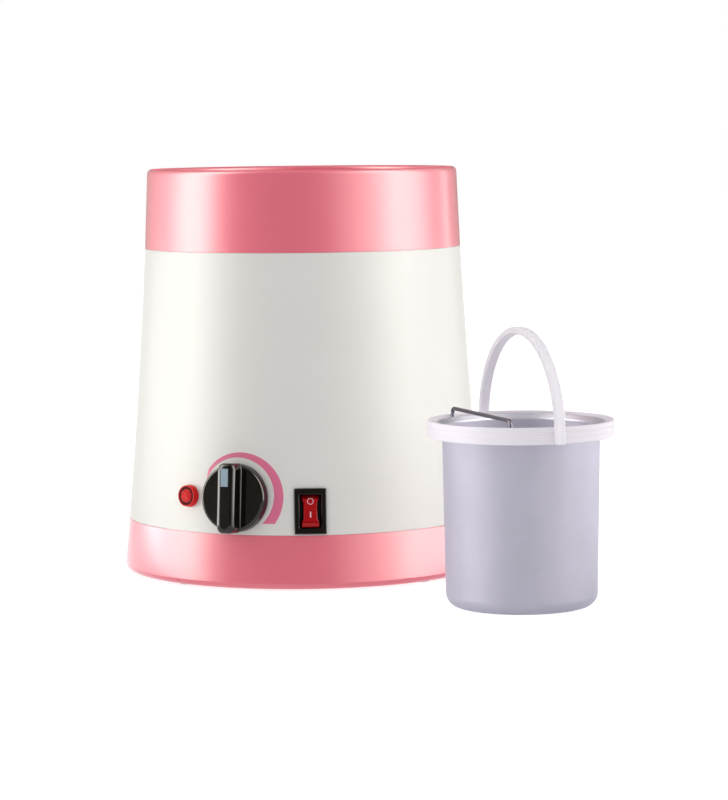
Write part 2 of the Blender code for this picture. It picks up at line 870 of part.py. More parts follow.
def rocker_outline():
    """Side of the rocker about its pivot: a shallow V in front and round ends."""
    slope = math.tan(rocker_tilt)
    lean = rocker_face_height * slope
    root = math.sqrt(lean**2 + (1 + slope**2) * (rocker_reach**2 - rocker_face_height**2))
    corner = (root - lean) / (1 + slope**2)
    front = math.degrees(math.acos(corner / rocker_reach))
    back = math.degrees(math.asin(rocker_back_depth / rocker_reach))
    centre = (0.0, 0.0)
    outline = [(0.0, rocker_face_height)]
    outline += arc(centre, rocker_reach, 180 - front, 180 + back, rocker_end_rows)
    outline += arc(centre, rocker_reach, -back, front, rocker_end_rows)
    return outline


def rocker_switch(body, base):
    frame = seat(switch_angle, switch_height)
    flat_seat(body, "switch_seat", frame, bezel_width, bezel_height, seat_sink)
    opening = (switch_body_width + 2 * gap, switch_body_height + 2 * gap, 4 * switch_body_depth)
    opening_cutter = block("switch_opening", opening, matrix=frame)
    cut(body, opening_cutter)
    cut(base, opening_cutter)
    bezel_low = gap - seat_sink
    bezel_at = frame @ shift(z=bezel_low + bezel_thickness / 2)
    bezel_size = (bezel_width, bezel_height, bezel_thickness)
    housing = block("switch_housing", bezel_size, black, bezel_at, bezel_edge)
    body_length = switch_body_depth + bezel_thickness / 2
    body_at = frame @ shift(z=bezel_low + bezel_thickness / 2 - body_length / 2)
    body_size = (switch_body_width, switch_body_height, body_length)
    join(housing, block("switch_case", body_size, matrix=body_at))
    back = bezel_low + bezel_thickness / 2 - body_length
    cavity_width = rocker_width + 2 * rocker_clearance
    cavity_height = 2 * (rocker_reach + rocker_clearance)
    cavity_depth = bezel_low + bezel_thickness + cut_overrun - (back + switch_wall)
    cavity_at = frame @ shift(z=back + switch_wall + cavity_depth / 2)
    cavity_size = (cavity_width, cavity_height, cavity_depth)
    cut(housing, block("switch_cavity", cavity_size, matrix=cavity_at))
    pivot = frame @ shift(z=-rocker_pivot_depth)
    across = pivot @ Matrix.Rotation(math.pi / 2, 4, "Y")
    peg_span = rocker_width + 2 * rocker_peg_length
    hole_span = peg_span + 2 * gap
    hole_at = across @ shift(z=-hole_span / 2)
    hole_radius = rocker_peg_radius + gap
    cut(housing, rod("rocker_peg_hole", hole_radius, hole_span, matrix=hole_at, steps=wire_steps))
    side_on = Matrix(((0, 0, 1, 0), (1, 0, 0, 0), (0, 1, 0, 0), (0, 0, 0, 1)))
    at_rest = pivot @ Matrix.Rotation(-rocker_tilt, 4, "X") @ side_on
    rocker = plate_of("rocker", rocker_outline(), rocker_width, red, at_rest)
    peg_at = at_rest @ shift(z=-peg_span / 2)
    join(rocker, rod("rocker_peg", rocker_peg_radius, peg_span, matrix=peg_at, steps=wire_steps))
    for side, number in ((-1, 1), (1, 2)):
        tab_middle = back + switch_wall + gap - switch_tab_size[2] / 2
        tab_at = frame @ shift(y=side * switch_tab_spread, z=tab_middle)
        slot_size = (switch_tab_size[0] + 2 * gap, switch_tab_size[1] + 2 * gap, 4 * switch_wall)
        slot_at = frame @ shift(y=side * switch_tab_spread, z=back)
        cut(housing, block(f"switch_slot_{number}", slot_size, matrix=slot_at))
        block(f"switch_tab_{number}", switch_tab_size, brass, tab_at)
    return frame, back + switch_wall + gap - switch_tab_size[2]


def mains_inlet(body):
    frame = seat(inlet_angle, inlet_height)
    flat_seat(body, "inlet_seat", frame, inlet_face_width, inlet_face_height, inlet_sink)
    opening = (inlet_body_width + 2 * gap, inlet_body_height + 2 * gap, 4 * inlet_depth)
    cut(body, block("inlet_opening", opening, matrix=frame))
    face_low = gap - inlet_sink
    face_at = frame @ shift(z=face_low + inlet_face_thickness / 2)
    face_size = (inlet_face_width, inlet_face_height, inlet_face_thickness)
    housing = block("inlet_housing", face_size, black, face_at, inlet_edge)
    case_length = inlet_depth + inlet_face_thickness / 2
    face_middle = face_low + inlet_face_thickness / 2
    case_at = frame @ shift(z=face_middle - case_length / 2)
    case_size = (inlet_body_width, inlet_body_height, case_length)
    join(housing, block("inlet_case", case_size, matrix=case_at))
    back = face_middle - case_length
    floor = back + inlet_back_wall
    face_top = face_low + inlet_face_thickness
    recess_depth = face_top + cut_overrun - floor
    recess_size = (inlet_body_width - 2 * inlet_wall, inlet_body_height - 2 * inlet_wall, recess_depth)
    recess_at = frame @ shift(z=floor + recess_depth / 2)
    cut(housing, block("inlet_recess", recess_size, matrix=recess_at))
    pin_tip = face_top - pin_front_space
    pin_end = back - pin_tail
    pins = (
        ("live", -pin_spacing, -pin_offset),
        ("neutral", pin_spacing, -pin_offset),
        ("earth", 0.0, pin_offset),
    )
    ends = {}
    for name, x, y in pins:
        slot_size = (pin_width + 2 * gap, pin_height + 2 * gap, 4 * inlet_back_wall)
        slot_at = frame @ shift(x=x, y=y, z=back)
        cut(housing, block(f"pin_slot_{name}", slot_size, matrix=slot_at))
        pin_at = frame @ shift(x=x, y=y, z=(pin_tip + pin_end) / 2)
        block(f"inlet_pin_{name}", (pin_width, pin_height, pin_tip - pin_end), brass, pin_at)
        ends[name] = (frame @ Vector((x, y, pin_end - gap)), inwards(frame))
    return ends


def inwards(frame):
    return -(frame.to_3x3() @ Vector((0, 0, 1)))


def terminal_block():
    """The block on the bottom plate, and where the leads meet its faces."""
    centre = Vector((*block_place, plate_top + gap + block_size[2] / 2))
    block("terminal_block", block_size, cream, Matrix.Translation(centre), block_edge)
    reach = Vector(block_size) / 2 + Vector((gap, gap, gap))
    spots = {}
    for number, share in enumerate((-1, 0, 1)):
        x = share * block_pole_spacing
        spots[f"back_{number}"] = (centre + Vector((x, reach.y, 0)), Vector((0, 1, 0)))
        spots[f"front_{number}"] = (centre + Vector((x, -reach.y, 0)), Vector((0, -1, 0)))
        spots[f"top_{number}"] = (centre + Vector((x, 0, reach.z)), Vector((0, 0, 1)))
    spots["left"] = (centre + Vector((-reach.x, 0, 0)), Vector((-1, 0, 0)))
    return spots


def lead(name, start, end, radius=lead_radius, material=None, pull=lead_pull):
    """A lead from one place to another. Each end is a point and the way it leaves."""
    first, last = start[0], end[0]
    first_pull = first + start[1] * pull
    last_pull = last + end[1] * pull
    points = []
    for row in range(lead_rows + 1):
        t = row / lead_rows
        near = (1 - t) ** 3 * first + 3 * (1 - t) ** 2 * t * first_pull
        far = 3 * (1 - t) * t**2 * last_pull + t**3 * last
        points.append(near + far)
    wire(name, points, radius, material or lead_cover)


def wiring(inlet_ends, switch, thermostat, lamp):
    spots = terminal_block()
    switch_frame, switch_end = switch
    thermostat_frame, thermostat_back = thermostat
    lamp_frame, lamp_end = lamp
    tab_end = thermostat_back - 2 * gap - tab_size[2]
    switch_spots = [
        (switch_frame @ Vector((0, side * switch_tab_spread, switch_end - gap)), inwards(switch_frame))
        for side in (-1, 1)
    ]
    thermostat_spots = [
        (thermostat_frame @ Vector((side * tab_side, 0, tab_end)), inwards(thermostat_frame))
        for side in (-1, 1)
    ]
    bulb_z = well_underside - gap - bulb_radius
    bulb_end = (Vector((-bulb_length / 2 - gap, -bulb_side, bulb_z)), Vector((-1, 0, 0)))
    cap_from = thermostat_frame @ Vector((0, tab_side, thermostat_back - gap))
    cutout_z = well_underside - gap - cutout_height / 2
    cutout_spot = (Vector((cutout_radius + gap, cutout_side, cutout_z)), Vector((1, 0, 0)))
    post_y = well_outer + gap + band_thickness / 2 + band_post_size[1] / 2
    post_z = band_low + band_post_size[2] / 2 - gap
    post_spot = (Vector((-band_post_side, post_y, post_z)), Vector((0, 0, -1)))
    strap_y = (strap_span - strap_thickness) / 2
    strap_z = well_underside - 3 * gap - cutout_height - strap_thickness
    strap_spot = (Vector((0, strap_y, strap_z)), Vector((0, 0, -1)))
    lamp_spot = (lamp_frame @ Vector((0, 0, lamp_end - gap)), inwards(lamp_frame))
    lead("lead_live", inlet_ends["live"], spots["back_2"])
    lead("lead_neutral", inlet_ends["neutral"], spots["back_0"])
    lead("lead_earth", inlet_ends["earth"], strap_spot)
    lead("lead_switch_in", switch_spots[0], spots["front_2"])
    lead("lead_switch_out", switch_spots[1], thermostat_spots[1])
    lead("lead_thermostat", thermostat_spots[0], spots["front_0"])
    lead("lead_cutout", cutout_spot, spots["top_2"])
    lead("lead_band", post_spot, spots["top_0"])
    lead("lead_lamp", lamp_spot, spots["left"])
    lead("capillary", (cap_from, inwards(thermostat_frame)), bulb_end, capillary_radius, copper)


def bucket_frame():
    """On the table under the bucket's middle, with +X along the axis of the bail."""
    return shift(*bucket_place) @ Matrix.Rotation(bucket_turn - math.pi / 2, 4, "Z")


def bucket_pot():
    inner_corner_radius = pot_corner_radius - pot_wall
    corner = (pot_base_radius - pot_corner_radius, pot_corner_radius)
    shoulder = pot_height - pot_lip_drop
    outline = [
        (0.0, pot_wall),
        *arc(corner, inner_corner_radius, -90, 0, pot_corner_rows),
        (pot_top_radius - pot_wall, shoulder),
        (pot_lip_radius - pot_wall, pot_height),
        (pot_lip_radius, pot_height),
        (pot_lip_radius, pot_height - pot_wall),
        (pot_top_radius, shoulder),
        *arc(corner, pot_corner_radius, 0, -90, pot_corner_rows),
        (0.0, 0.0),
    ]
    turned("bucket_pot", outline, aluminium, bucket_frame())


def bucket_ring():
    wall_inside = ring_radius - ring_outer_wall
    outline = [
        (ring_radius - ring_edge, ring_top),
        (ring_radius, ring_top - ring_edge),
        (ring_radius, ring_bottom + ring_edge),
        (ring_radius - ring_edge, ring_bottom),
        (ring_inner_radius, ring_bottom),
        (ring_inner_radius, groove_floor),
        (wall_inside, groove_floor),
        (wall_inside, ring_top),
    ]
    frame = bucket_frame()
    ring = turned("bucket_ring", outline, bucket_white, frame, ring=True)
    for side, name in ((-1, "far"), (1, "near")):
        along = Matrix.Rotation(side * math.pi / 2, 4, "Y")
        inner = ring_radius - peg_length
        hole_at = frame @ shift(x=side * inner, z=peg_level) @ along
        hole_length = peg_length + cut_overrun
        cut(ring, rod(f"peg_hole_{name}", peg_radius + gap, hole_length, matrix=hole_at, steps=wire_steps))


def bucket_handle():
    """Bail: a strap bent round in a half circle, with a peg inside each foot."""
    centre = (0.0, bail_leg)
    outline = [(bail_outer_radius, -bail_end)]
    outline += arc(centre, bail_outer_radius, 0, 180, bail_arc_rows)
    outline += [(-bail_outer_radius, -bail_end), (-bail_inner_radius, -bail_end)]
    outline += arc(centre, bail_inner_radius, 180, 0, bail_arc_rows)
    outline += [(bail_inner_radius, -bail_end)]
    pivot = bucket_frame() @ shift(z=peg_level)
    upright = pivot @ Matrix.Rotation(math.pi / 2, 4, "X")
    handle = plate_of("bucket_handle", outline, bail_width, bucket_white, upright, bail_edge)
    for side, name in ((-1, "far"), (1, "near")):
        along = Matrix.Rotation(side * math.pi / 2, 4, "Y")
        inner = ring_radius - peg_length + gap
        length = bail_inner_radius + bail_thickness / 2 - inner
        peg_at = pivot @ shift(x=side * inner) @ along
        join(handle, rod(f"peg_{name}", peg_radius, length, matrix=peg_at, steps=wire_steps))


def scraper_bar():
    """Round bar across the mouth, its ends bent down into the ring's groove."""
    leg_circle = (pot_lip_radius + ring_radius - ring_outer_wall) / 2
    offset = scraper_offset_share * pot_lip_radius
    half_span = math.sqrt(leg_circle**2 - offset**2)
    low = groove_floor + gap
    level = pot_height + scraper_rise
    left = (-half_span + scraper_bend_radius, level - scraper_bend_radius)
    right = (half_span - scraper_bend_radius, level - scraper_bend_radius)
    route = [(-half_span, low)]
    route += arc(left, scraper_bend_radius, 180, 90, scraper_bend_rows)
    route += arc(right, scraper_bend_radius, 90, 0, scraper_bend_rows)
    route += [(half_span, low)]
    points = [Vector((x, -offset, z)) for x, z in route]
    wire("scraper_bar", points, scraper_radius, steel, bucket_frame())


def heater():
    base = base_shell()
    body = body_shell()
    top_collar()
    feet(base)
    bottom_plate()
    tie_rods()
    inner_well()
    well_ring()
    heater_band()
    insulation_sleeve()
    under_well()
    thermostat = thermostat_body(body)
    knob()
    lamp = pilot_lamp(body)
    switch = rocker_switch(body, base)
    inlet_ends = mains_inlet(body)
    wiring(inlet_ends, switch, thermostat, lamp)


def bucket():
    bucket_pot()
    bucket_ring()
    bucket_handle()
    scraper_bar()


heater()
bucket()
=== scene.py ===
"""The looks of a wax heater and its bucket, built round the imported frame. Metres, +Z up.

The heater stands over the origin with its controls on -Y. Its mouldings are turned again with
fine steps and cut for the controls, and every replaced piece sits where its solid is. The
light is a soft studio: one wide panel on each side, dark in front and behind.
"""

import json
import math

import bmesh
import bpy
from mathutils import Matrix, Vector


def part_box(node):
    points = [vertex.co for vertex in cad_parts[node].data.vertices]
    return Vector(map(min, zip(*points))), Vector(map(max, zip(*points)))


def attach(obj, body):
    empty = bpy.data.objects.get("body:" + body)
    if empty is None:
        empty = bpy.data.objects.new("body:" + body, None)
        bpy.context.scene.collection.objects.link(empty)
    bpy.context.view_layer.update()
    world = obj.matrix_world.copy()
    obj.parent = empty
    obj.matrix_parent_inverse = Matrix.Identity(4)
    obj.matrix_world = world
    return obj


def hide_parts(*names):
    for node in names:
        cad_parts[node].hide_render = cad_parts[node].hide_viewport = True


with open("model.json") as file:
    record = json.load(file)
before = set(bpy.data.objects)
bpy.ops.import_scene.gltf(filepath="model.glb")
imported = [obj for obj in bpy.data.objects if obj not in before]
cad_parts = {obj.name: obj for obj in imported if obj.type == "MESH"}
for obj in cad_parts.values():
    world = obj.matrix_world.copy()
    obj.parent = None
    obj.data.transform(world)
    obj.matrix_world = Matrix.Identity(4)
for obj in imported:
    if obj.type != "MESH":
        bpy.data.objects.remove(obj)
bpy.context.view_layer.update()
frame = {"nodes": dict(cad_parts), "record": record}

# General sizes
gap = 0.0003
overrun = 0.004
round_steps = 224
small_steps = 64
fine_rows = 6
tiny = 0.000001

# Heater shells
heater_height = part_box("top_collar")[1].z
top_radius = 0.1000
base_spread = 0.0184
flare_share = 0.455
shell_wall = 0.0028
foot_stand = 0.0015
base_line_height = 0.035
collar_line_height = heater_height - 0.051
base_corner_radius = 0.004
rim_corner_radius = 0.003
spigot_wall = 0.0020
spigot_height = 0.0040
spigot_root = 0.0050
seam_gap = 0.0001
seam_round = 0.00015
wall_rows = 28
wall_normal_reach = math.radians(4)

# Collar rim, deck, well, bottom plate and feet
rim_land_width = 0.0085
rim_wall = 0.0025
deck_top = heater_height - 0.0090
deck_underside = deck_top - 0.0025
deck_round = 0.0020
rim_top_facing = 0.85
flange_top_facing = 0.5
flange_inner_radius = 0.0900
well_low, well_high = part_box("inner_well")
well_wall = 0.0015
well_radius = 0.0500
well_flange_radius = well_high.x
well_mouth_round = 0.0012
well_corner_radius = 0.0060
plate_low, plate_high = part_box("bottom_plate")
plate_radius = 0.0895
plate_thickness = 0.0030
plate_lap_thickness = 0.0018
plate_round = 0.0006
tie_head_radius = 0.0043
tie_head_sink = 0.0015
tie_way_radius = 0.0023
foot_stem_radius = 0.0025
foot_barb_radius = 0.0038
foot_round = 0.0008

# Places of the controls on the body: angle round from the front, and height
knob_angle = math.radians(-21.2)
knob_height = 0.0579
lamp_angle = math.radians(-38.5)
lamp_height = 0.0574
switch_angle = math.radians(2.5)
switch_height = 0.0500
inlet_angle = math.pi
inlet_height = 0.0620

# Knob and its scale
knob_radius = 0.0209
knob_foot_radius = 0.0215
knob_lift = 0.0009
knob_face_height = 0.0072
knob_edge = 0.0018
knob_wall = 0.0018
knob_hub_radius = 0.0060
knob_hub_lift = 0.0031
knob_bore_radius = 0.0033
knob_bore_depth = 0.0128
knob_way_radius = 0.0048
knob_bar_width = 0.0116
knob_bar_height = 0.0112
knob_bar_length = 0.0436
knob_bar_round = 0.0028
knob_bar_corner = 0.0034
knob_bar_end_round = 0.0030
knob_root_round = 0.0009
pointer_size = (0.0050, 0.0112)
pointer_end_space = 0.0034
pointer_side = 0.0007
pointer_thickness = 0.0010
pointer_sink = 0.0003
pointer_edge = 0.00025
scale_outer_centre = Vector((0.0022, 0.0003))
scale_outer_radius = 0.0279
scale_inner_centre = Vector((0.0005, 0.0013))
scale_inner_radius = 0.0237
scale_start = math.radians(157)
scale_taper = math.radians(14)
scale_floor = -0.0157
scale_print = 0.00005
scale_columns = 96
scale_rows = 6

# Pilot lamp
lamp_flange_radius = 0.0069
lamp_flange_height = 0.0016
lamp_ring_radius = 0.0066
lamp_ring_height = 0.0044
lamp_rim_width = 0.0007
lamp_groove_radius = 0.0043
lamp_groove_depth = 0.0012
lamp_dome_height = 0.0054
lamp_stem_radius = 0.0046
lamp_stem_depth = 0.0030
lamp_ridge = 0.00012
lamp_ridges = 4
lamp_ridge_rows = 12

# Rocker switch
bezel = (0.0200, 0.0282)
bezel_thickness = 0.0022
bezel_edge = 0.0006
bezel_corner = 0.0007
switch_sink = 0.0006
switch_case = (0.0172, 0.0244)
switch_case_depth = 0.0180
switch_wall = 0.0016
funnel_width = 0.0007
funnel_depth = 0.0016
rocker_width = 0.0116
rocker_front_width = 0.0104
rocker_waist = 0.0084
rocker_waist_shares = (0.42, 0.80)
rocker_draft = 0.0003
rocker_clearance = 0.0004
rocker_reach = 0.0101
rocker_pivot_depth = 0.0014
rocker_face_height = 0.0029
rocker_back_depth = 0.0040
rocker_edge = 0.0005
rocker_tilt = math.radians(9.5)
rocker_rows = 90
mark_print = 0.00006
mark_o_radius = 0.0018
mark_stroke = 0.00034
mark_o_share = 0.56
mark_i_size = (0.0008, 0.0038)
mark_i_share = 0.25
ledge_share = 0.73
ledge_depth = 0.0004
ledge_groove = 0.0003
ledge_falls = (math.radians(32), math.radians(58))

# Mains inlet
inlet_face = (0.0310, 0.0245)
inlet_face_thickness = 0.0020
inlet_body = (0.0275, 0.0200)
inlet_depth = 0.0185
inlet_wall = 0.0015
inlet_back_wall = 0.0020
inlet_sink = 0.0011
inlet_edge = 0.0008
inlet_corner = 0.0025
pin_size = (0.0020, 0.0040)
pin_spacing = 0.0070
pin_offset = 0.0020
pin_front_space = 0.0030
pin_tail = 0.0080
pin_edge = 0.0005

# Bucket
bucket_place = (0.132, -0.175)
bucket_turn = math.radians(20)
pot_height = 0.1106
pot_top_radius = 0.0471
pot_base_radius = 0.0454
pot_wall = 0.0012
pot_corner_radius = 0.0080
pot_lip_radius = 0.0502
pot_lip_drop = 0.0030
pot_lip_round = 0.0005
ring_radius = 0.0556
ring_height = 0.0102
ring_stand = 0.0013
ring_outer_wall = 0.0018
ring_edge = 0.0007
ring_groove_levels = (0.0032, 0.0066)
ring_groove = 0.00018
bail_thickness = 0.0044
bail_width = 0.0060
bail_leg = 0.0020
bail_end = 0.0026
bail_edge = 0.0010
bail_groove = 0.00025
bail_rib_width = 0.0012
bail_rows = 96
peg_radius = 0.0018
peg_length = 0.0034
peg_height = 0.0028
scraper_radius = 0.0012
scraper_rise = 0.0050
scraper_offset_share = 0.51
scraper_bend_radius = 0.0030

# Camera
camera_place = Vector((0.03874, -2.0, 0.288))
camera_pitch = math.radians(84.8693)
camera_roll = math.radians(-0.6)
camera_lens = 138.56
sensor_width = 36

# Light: levels of the studio round the horizon, by azimuth in degrees from the front
panel_levels = (
    (-160, 0.04), (-134, 0.05), (-118, 0.10), (-106, 0.33), (-95, 0.76), (-85, 0.94),
    (-76, 0.91), (-68, 0.58), (-61, 0.22), (-54, 0.08), (-46, 0.015), (-24, 0.01), (0, 0.01),
    (14, 0.02), (24, 0.10), (36, 0.26), (46, 0.36), (54, 0.47), (62, 0.66), (70, 0.86),
    (78, 0.86), (88, 0.69), (98, 0.45), (106, 0.22), (112, 0.08), (125, 0.07), (128, 0.18),
    (136, 0.15), (139, 0.04), (160, 0.03),
)
panel_colour = (1.0, 0.965, 0.865)
panel_radiance = 12.4
table_level = 0.85
panel_foot = (-0.50, -0.12)
panel_top = (0.75, 0.99)
top_level = 0.8
top_heights = (0.80, 0.97)
ambient_level = 0.745
side_level = 0.022
floor_reach = 6.0
floor_grey = 0.50
floor_bounce = 0.42
floor_glow = 0.42
floor_panel = 7.6
floor_panel_reach = (0.05, 0.8)
floor_panel_turn = 0.9
bucket_lamp_angle = math.radians(-72)
bucket_lamp_distance = 1.0
bucket_lamp_size = 0.5
bucket_lamp_power = 2.6

# Bodies that the glossy walls mirror
mirrored_bodies = ("heater", "knob", "rocker")

# Sizes that follow from these
land_radius = top_radius - rim_land_width
flange_top = foot_stand + shell_wall
well_outer = well_radius + well_wall
ring_drop = ring_height - ring_stand
ring_bottom = pot_height - ring_drop
ring_top = pot_height + ring_stand
ring_inner_radius = pot_top_radius + gap
groove_floor = pot_height - pot_lip_drop - gap
bail_inner_radius = ring_radius + gap
peg_level = ring_bottom + peg_height


def shell_radius(height):
    """Outer radius of the heater at a height: it flares towards the table."""
    down = 1 - height / heater_height
    flare = (1 - flare_share) * down + flare_share * down**2
    return top_radius + base_spread * flare


def shell_lean(height):
    """Angle by which the wall leans inwards at a height."""
    slope = (1 - flare_share) + 2 * flare_share * (1 - height / heater_height)
    return math.atan(base_spread / heater_height * slope)


def seat(angle, height):
    """Frame on the outside of the shell: +Z straight out of the wall, +Y up it."""
    radius = shell_radius(height)
    place = Vector((radius * math.sin(angle), -radius * math.cos(angle), height))
    turn = Matrix.Rotation(angle, 4, "Z")
    stand = Matrix.Rotation(math.pi / 2 - shell_lean(height), 4, "X")
    return Matrix.Translation(place) @ turn @ stand


def shift(x=0.0, y=0.0, z=0.0):
    return Matrix.Translation((x, y, z))


def arc(centre, radius, start, stop, rows=fine_rows):
    """Points on an arc, both ends included; angles in degrees."""
    angles = [math.radians(start + (stop - start) * i / rows) for i in range(rows + 1)]
    return [(centre[0] + radius * math.cos(a), centre[1] + radius * math.sin(a)) for a in angles]


def rounded(points, rows=fine_rows):
    """An outline with an arc at each point that has a third value, the arc's radius."""
    outline = []
    for index, point in enumerate(points):
        here = Vector(point[:2])
        if len(point) == 2:
            outline.append(tuple(here))
            continue
        before = (Vector(points[index - 1][:2]) - here).normalized()
        after = (Vector(points[(index + 1) % len(points)][:2]) - here).normalized()
        half = before.angle(after) / 2
        centre = here + (before + after).normalized() * point[2] / math.sin(half)
        first = here + before * point[2] / math.tan(half) - centre
        side = 1 if before.cross(after) < 0 else -1
        turn = side * (math.pi - 2 * half)
        start = math.atan2(first.y, first.x)
        for row in range(rows + 1):
            angle = start + turn * row / rows
            spoke = Vector((math.cos(angle), math.sin(angle))) * point[2]
            outline.append(tuple(centre + spoke))
    return outline


def box_outline(width, height, corner, rows=fine_rows):
    x, y = width / 2, height / 2
    return rounded([(x, y, corner), (-x, y, corner), (-x, -y, corner), (x, -y, corner)], rows)


def new_object(name, data, matrix=None, material=None):
    obj = bpy.data.objects.new(name, data)
    bpy.context.scene.collection.objects.link(obj)
    if material:
        data.materials.append(material)
    if matrix:
        obj.matrix_world = matrix
    return obj


def loft(name, rings, matrix=None, material=None, closed=False):
    """Skin over rings of points. A ring of one point closes to a tip; open ends get caps."""
    shape = bmesh.new()
    count = max(len(ring) for ring in rings)
    rows = []
    for ring in rings:
        corners = [shape.verts.new(point) for point in ring]
        rows.append(corners if len(corners) > 1 else corners * count)
    for low, high in zip(rows, rows[1:] + (rows[:1] if closed else [])):
        for i in range(count):
            j = (i + 1) % count
            face = list(dict.fromkeys((low[i], low[j], high[j], high[i])))
            if len(face) > 2:
                shape.faces.new(face)
    if not closed:
        for ring, end in ((rows[0], rings[0]), (rows[-1], rings[-1])):
            if len(end) > 1:
                shape.faces.new(ring)
    bmesh.ops.recalc_face_normals(shape, faces=shape.faces)
    mesh = bpy.data.meshes.new(name)
    shape.to_mesh(mesh)
    shape.free()
    return new_object(name, mesh, matrix, material)


def lathe(name, outline, matrix=None, material=None, steps=round_steps):
    """Turn (radius, height) points about Z. An outline clear of the axis is a closed ring."""
    outline = rounded(outline)
    rings = []
    for radius, height in outline:
        if radius < tiny:
            rings.append([(0.0, 0.0, height)])
            continue
        angles = [2 * math.pi * i / steps for i in range(steps)]
        rings.append([(radius * math.cos(a), radius * math.sin(a), height) for a in angles])
    closed = all(radius > tiny for radius, height in outline)
    return loft(name, rings, matrix, material, closed)


def box_turned(name, levels, matrix=None, material=None):
    """Loft over (width, height, corner radius, z) levels of a rectangle with round corners."""
    rings = [[(x, y, z) for x, y in box_outline(w, h, corner)] for w, h, corner, z in levels]
    return loft(name, rings, matrix, material)


def rounded_box(name, size, low, high, edge, corner, matrix):
    """Box with round corners and a round-over on its upper edge."""
    levels = [(*size, corner, low)]
    for x, z in arc((-edge, high - edge), edge, 0, 90):
        levels.append((size[0] + 2 * x, size[1] + 2 * x, max(corner + x, tiny), z))
    return box_turned(name, levels, matrix)


def bake(obj):
    """Make what the modifiers give the object's own mesh."""
    graph = bpy.context.evaluated_depsgraph_get()
    graph.update()
    mesh = bpy.data.meshes.new_from_object(obj.evaluated_get(graph))
    obj.modifiers.clear()
    obj.data = mesh


def combine(obj, other, operation):
    """Boolean with a helper shape, which is removed afterwards."""
    modifier = obj.modifiers.new(other.name, "BOOLEAN")
    modifier.operation = operation
    modifier.solver = "EXACT"
    modifier.object = other
    bake(obj)
    bpy.data.objects.remove(other, do_unlink=True)


def cut(obj, other):
    combine(obj, other, "DIFFERENCE")


def join(obj, other):
    combine(obj, other, "UNION")


def shade(obj, angle):
    """Smooth shading in which large faces stay flat and only round-overs bend the light."""
    obj.data.shade_smooth()
    obj.data.set_sharp_from_angle(angle=math.radians(angle))
    modifier = obj.modifiers.new("Normals", "WEIGHTED_NORMAL")
    modifier.keep_sharp = True
    bake(obj)


def shade_wall(obj):
    """Give the outer wall of a cut shell the normals of the true flare."""
    mesh = obj.data
    normals = [corner.vector.copy() for corner in mesh.corner_normals]
    for face in mesh.polygons:
        for corner in face.loop_indices:
            place = mesh.vertices[mesh.loops[corner].vertex_index].co
            out = Vector((place.x, place.y, 0)).normalized()
            lean = shell_lean(place.z)
            true = out * math.cos(lean) + Vector((0, 0, math.sin(lean)))
            off = abs(math.hypot(place.x, place.y) - shell_radius(place.z))
            if off < gap / 4 and face.normal.dot(true) > math.cos(wall_normal_reach):
                normals[corner] = true
    mesh.normals_split_custom_set(normals)


def piece(obj, body, slot, *nodes, angle=35):
    """Shade, ride on a body and hide the CAD nodes that the piece stands for.

    The finish is the slot's where the piece has none of its own.
    """
    shade(obj, angle)
    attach(obj, body)
    obj.visible_glossy = body in mirrored_bodies
    if not obj.data.materials:
        obj.data.materials.append(slot_finishes[slot])
    if nodes:
        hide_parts(*nodes)


def second_finish(obj, material, chosen):
    """Give the faces that a rule on their centre and normal picks another finish."""
    obj.data.materials.append(material)
    for face in obj.data.polygons:
        face.material_index = int(chosen(face.center, face.normal))


def wall_points(low, high):
    """The flare of the shell between two heights, from the upper one down."""
    rows = max(2, round(wall_rows * (high - low) / heater_height))
    heights = [high + (low - high) * i / rows for i in range(rows + 1)]
    return [(shell_radius(height), height) for height in heights]


class Nodes:
    """Short calls for the shader nodes of a material or the world."""

    def __init__(self, owner):
        owner.use_nodes = True
        self.tree = owner.node_tree

    def add(self, kind, *inputs, **settings):
        """New node, with values or links for its inputs in their order."""
        node = self.tree.nodes.new(kind)
        for name, value in settings.items():
            setattr(node, name, value)
        for index, value in enumerate(inputs):
            if isinstance(value, bpy.types.NodeSocket):
                self.tree.links.new(value, node.inputs[index])
            elif value is not None:
                node.inputs[index].default_value = value
        return node

    def math(self, operation, *inputs):
        return self.add("ShaderNodeMath", *inputs, operation=operation).outputs[0]

    def mix(self, share, low, high):
        """Low where the share is 0, high where it is 1."""
        return self.math("MULTIPLY_ADD", share, self.math("SUBTRACT", high, low), low)

    def smooth(self, value, *limits):
        """Smooth step of a value between two limits, from one level to another."""
        step = self.add("ShaderNodeMapRange", value, *limits, interpolation_type="SMOOTHSTEP")
        return step.outputs[0]


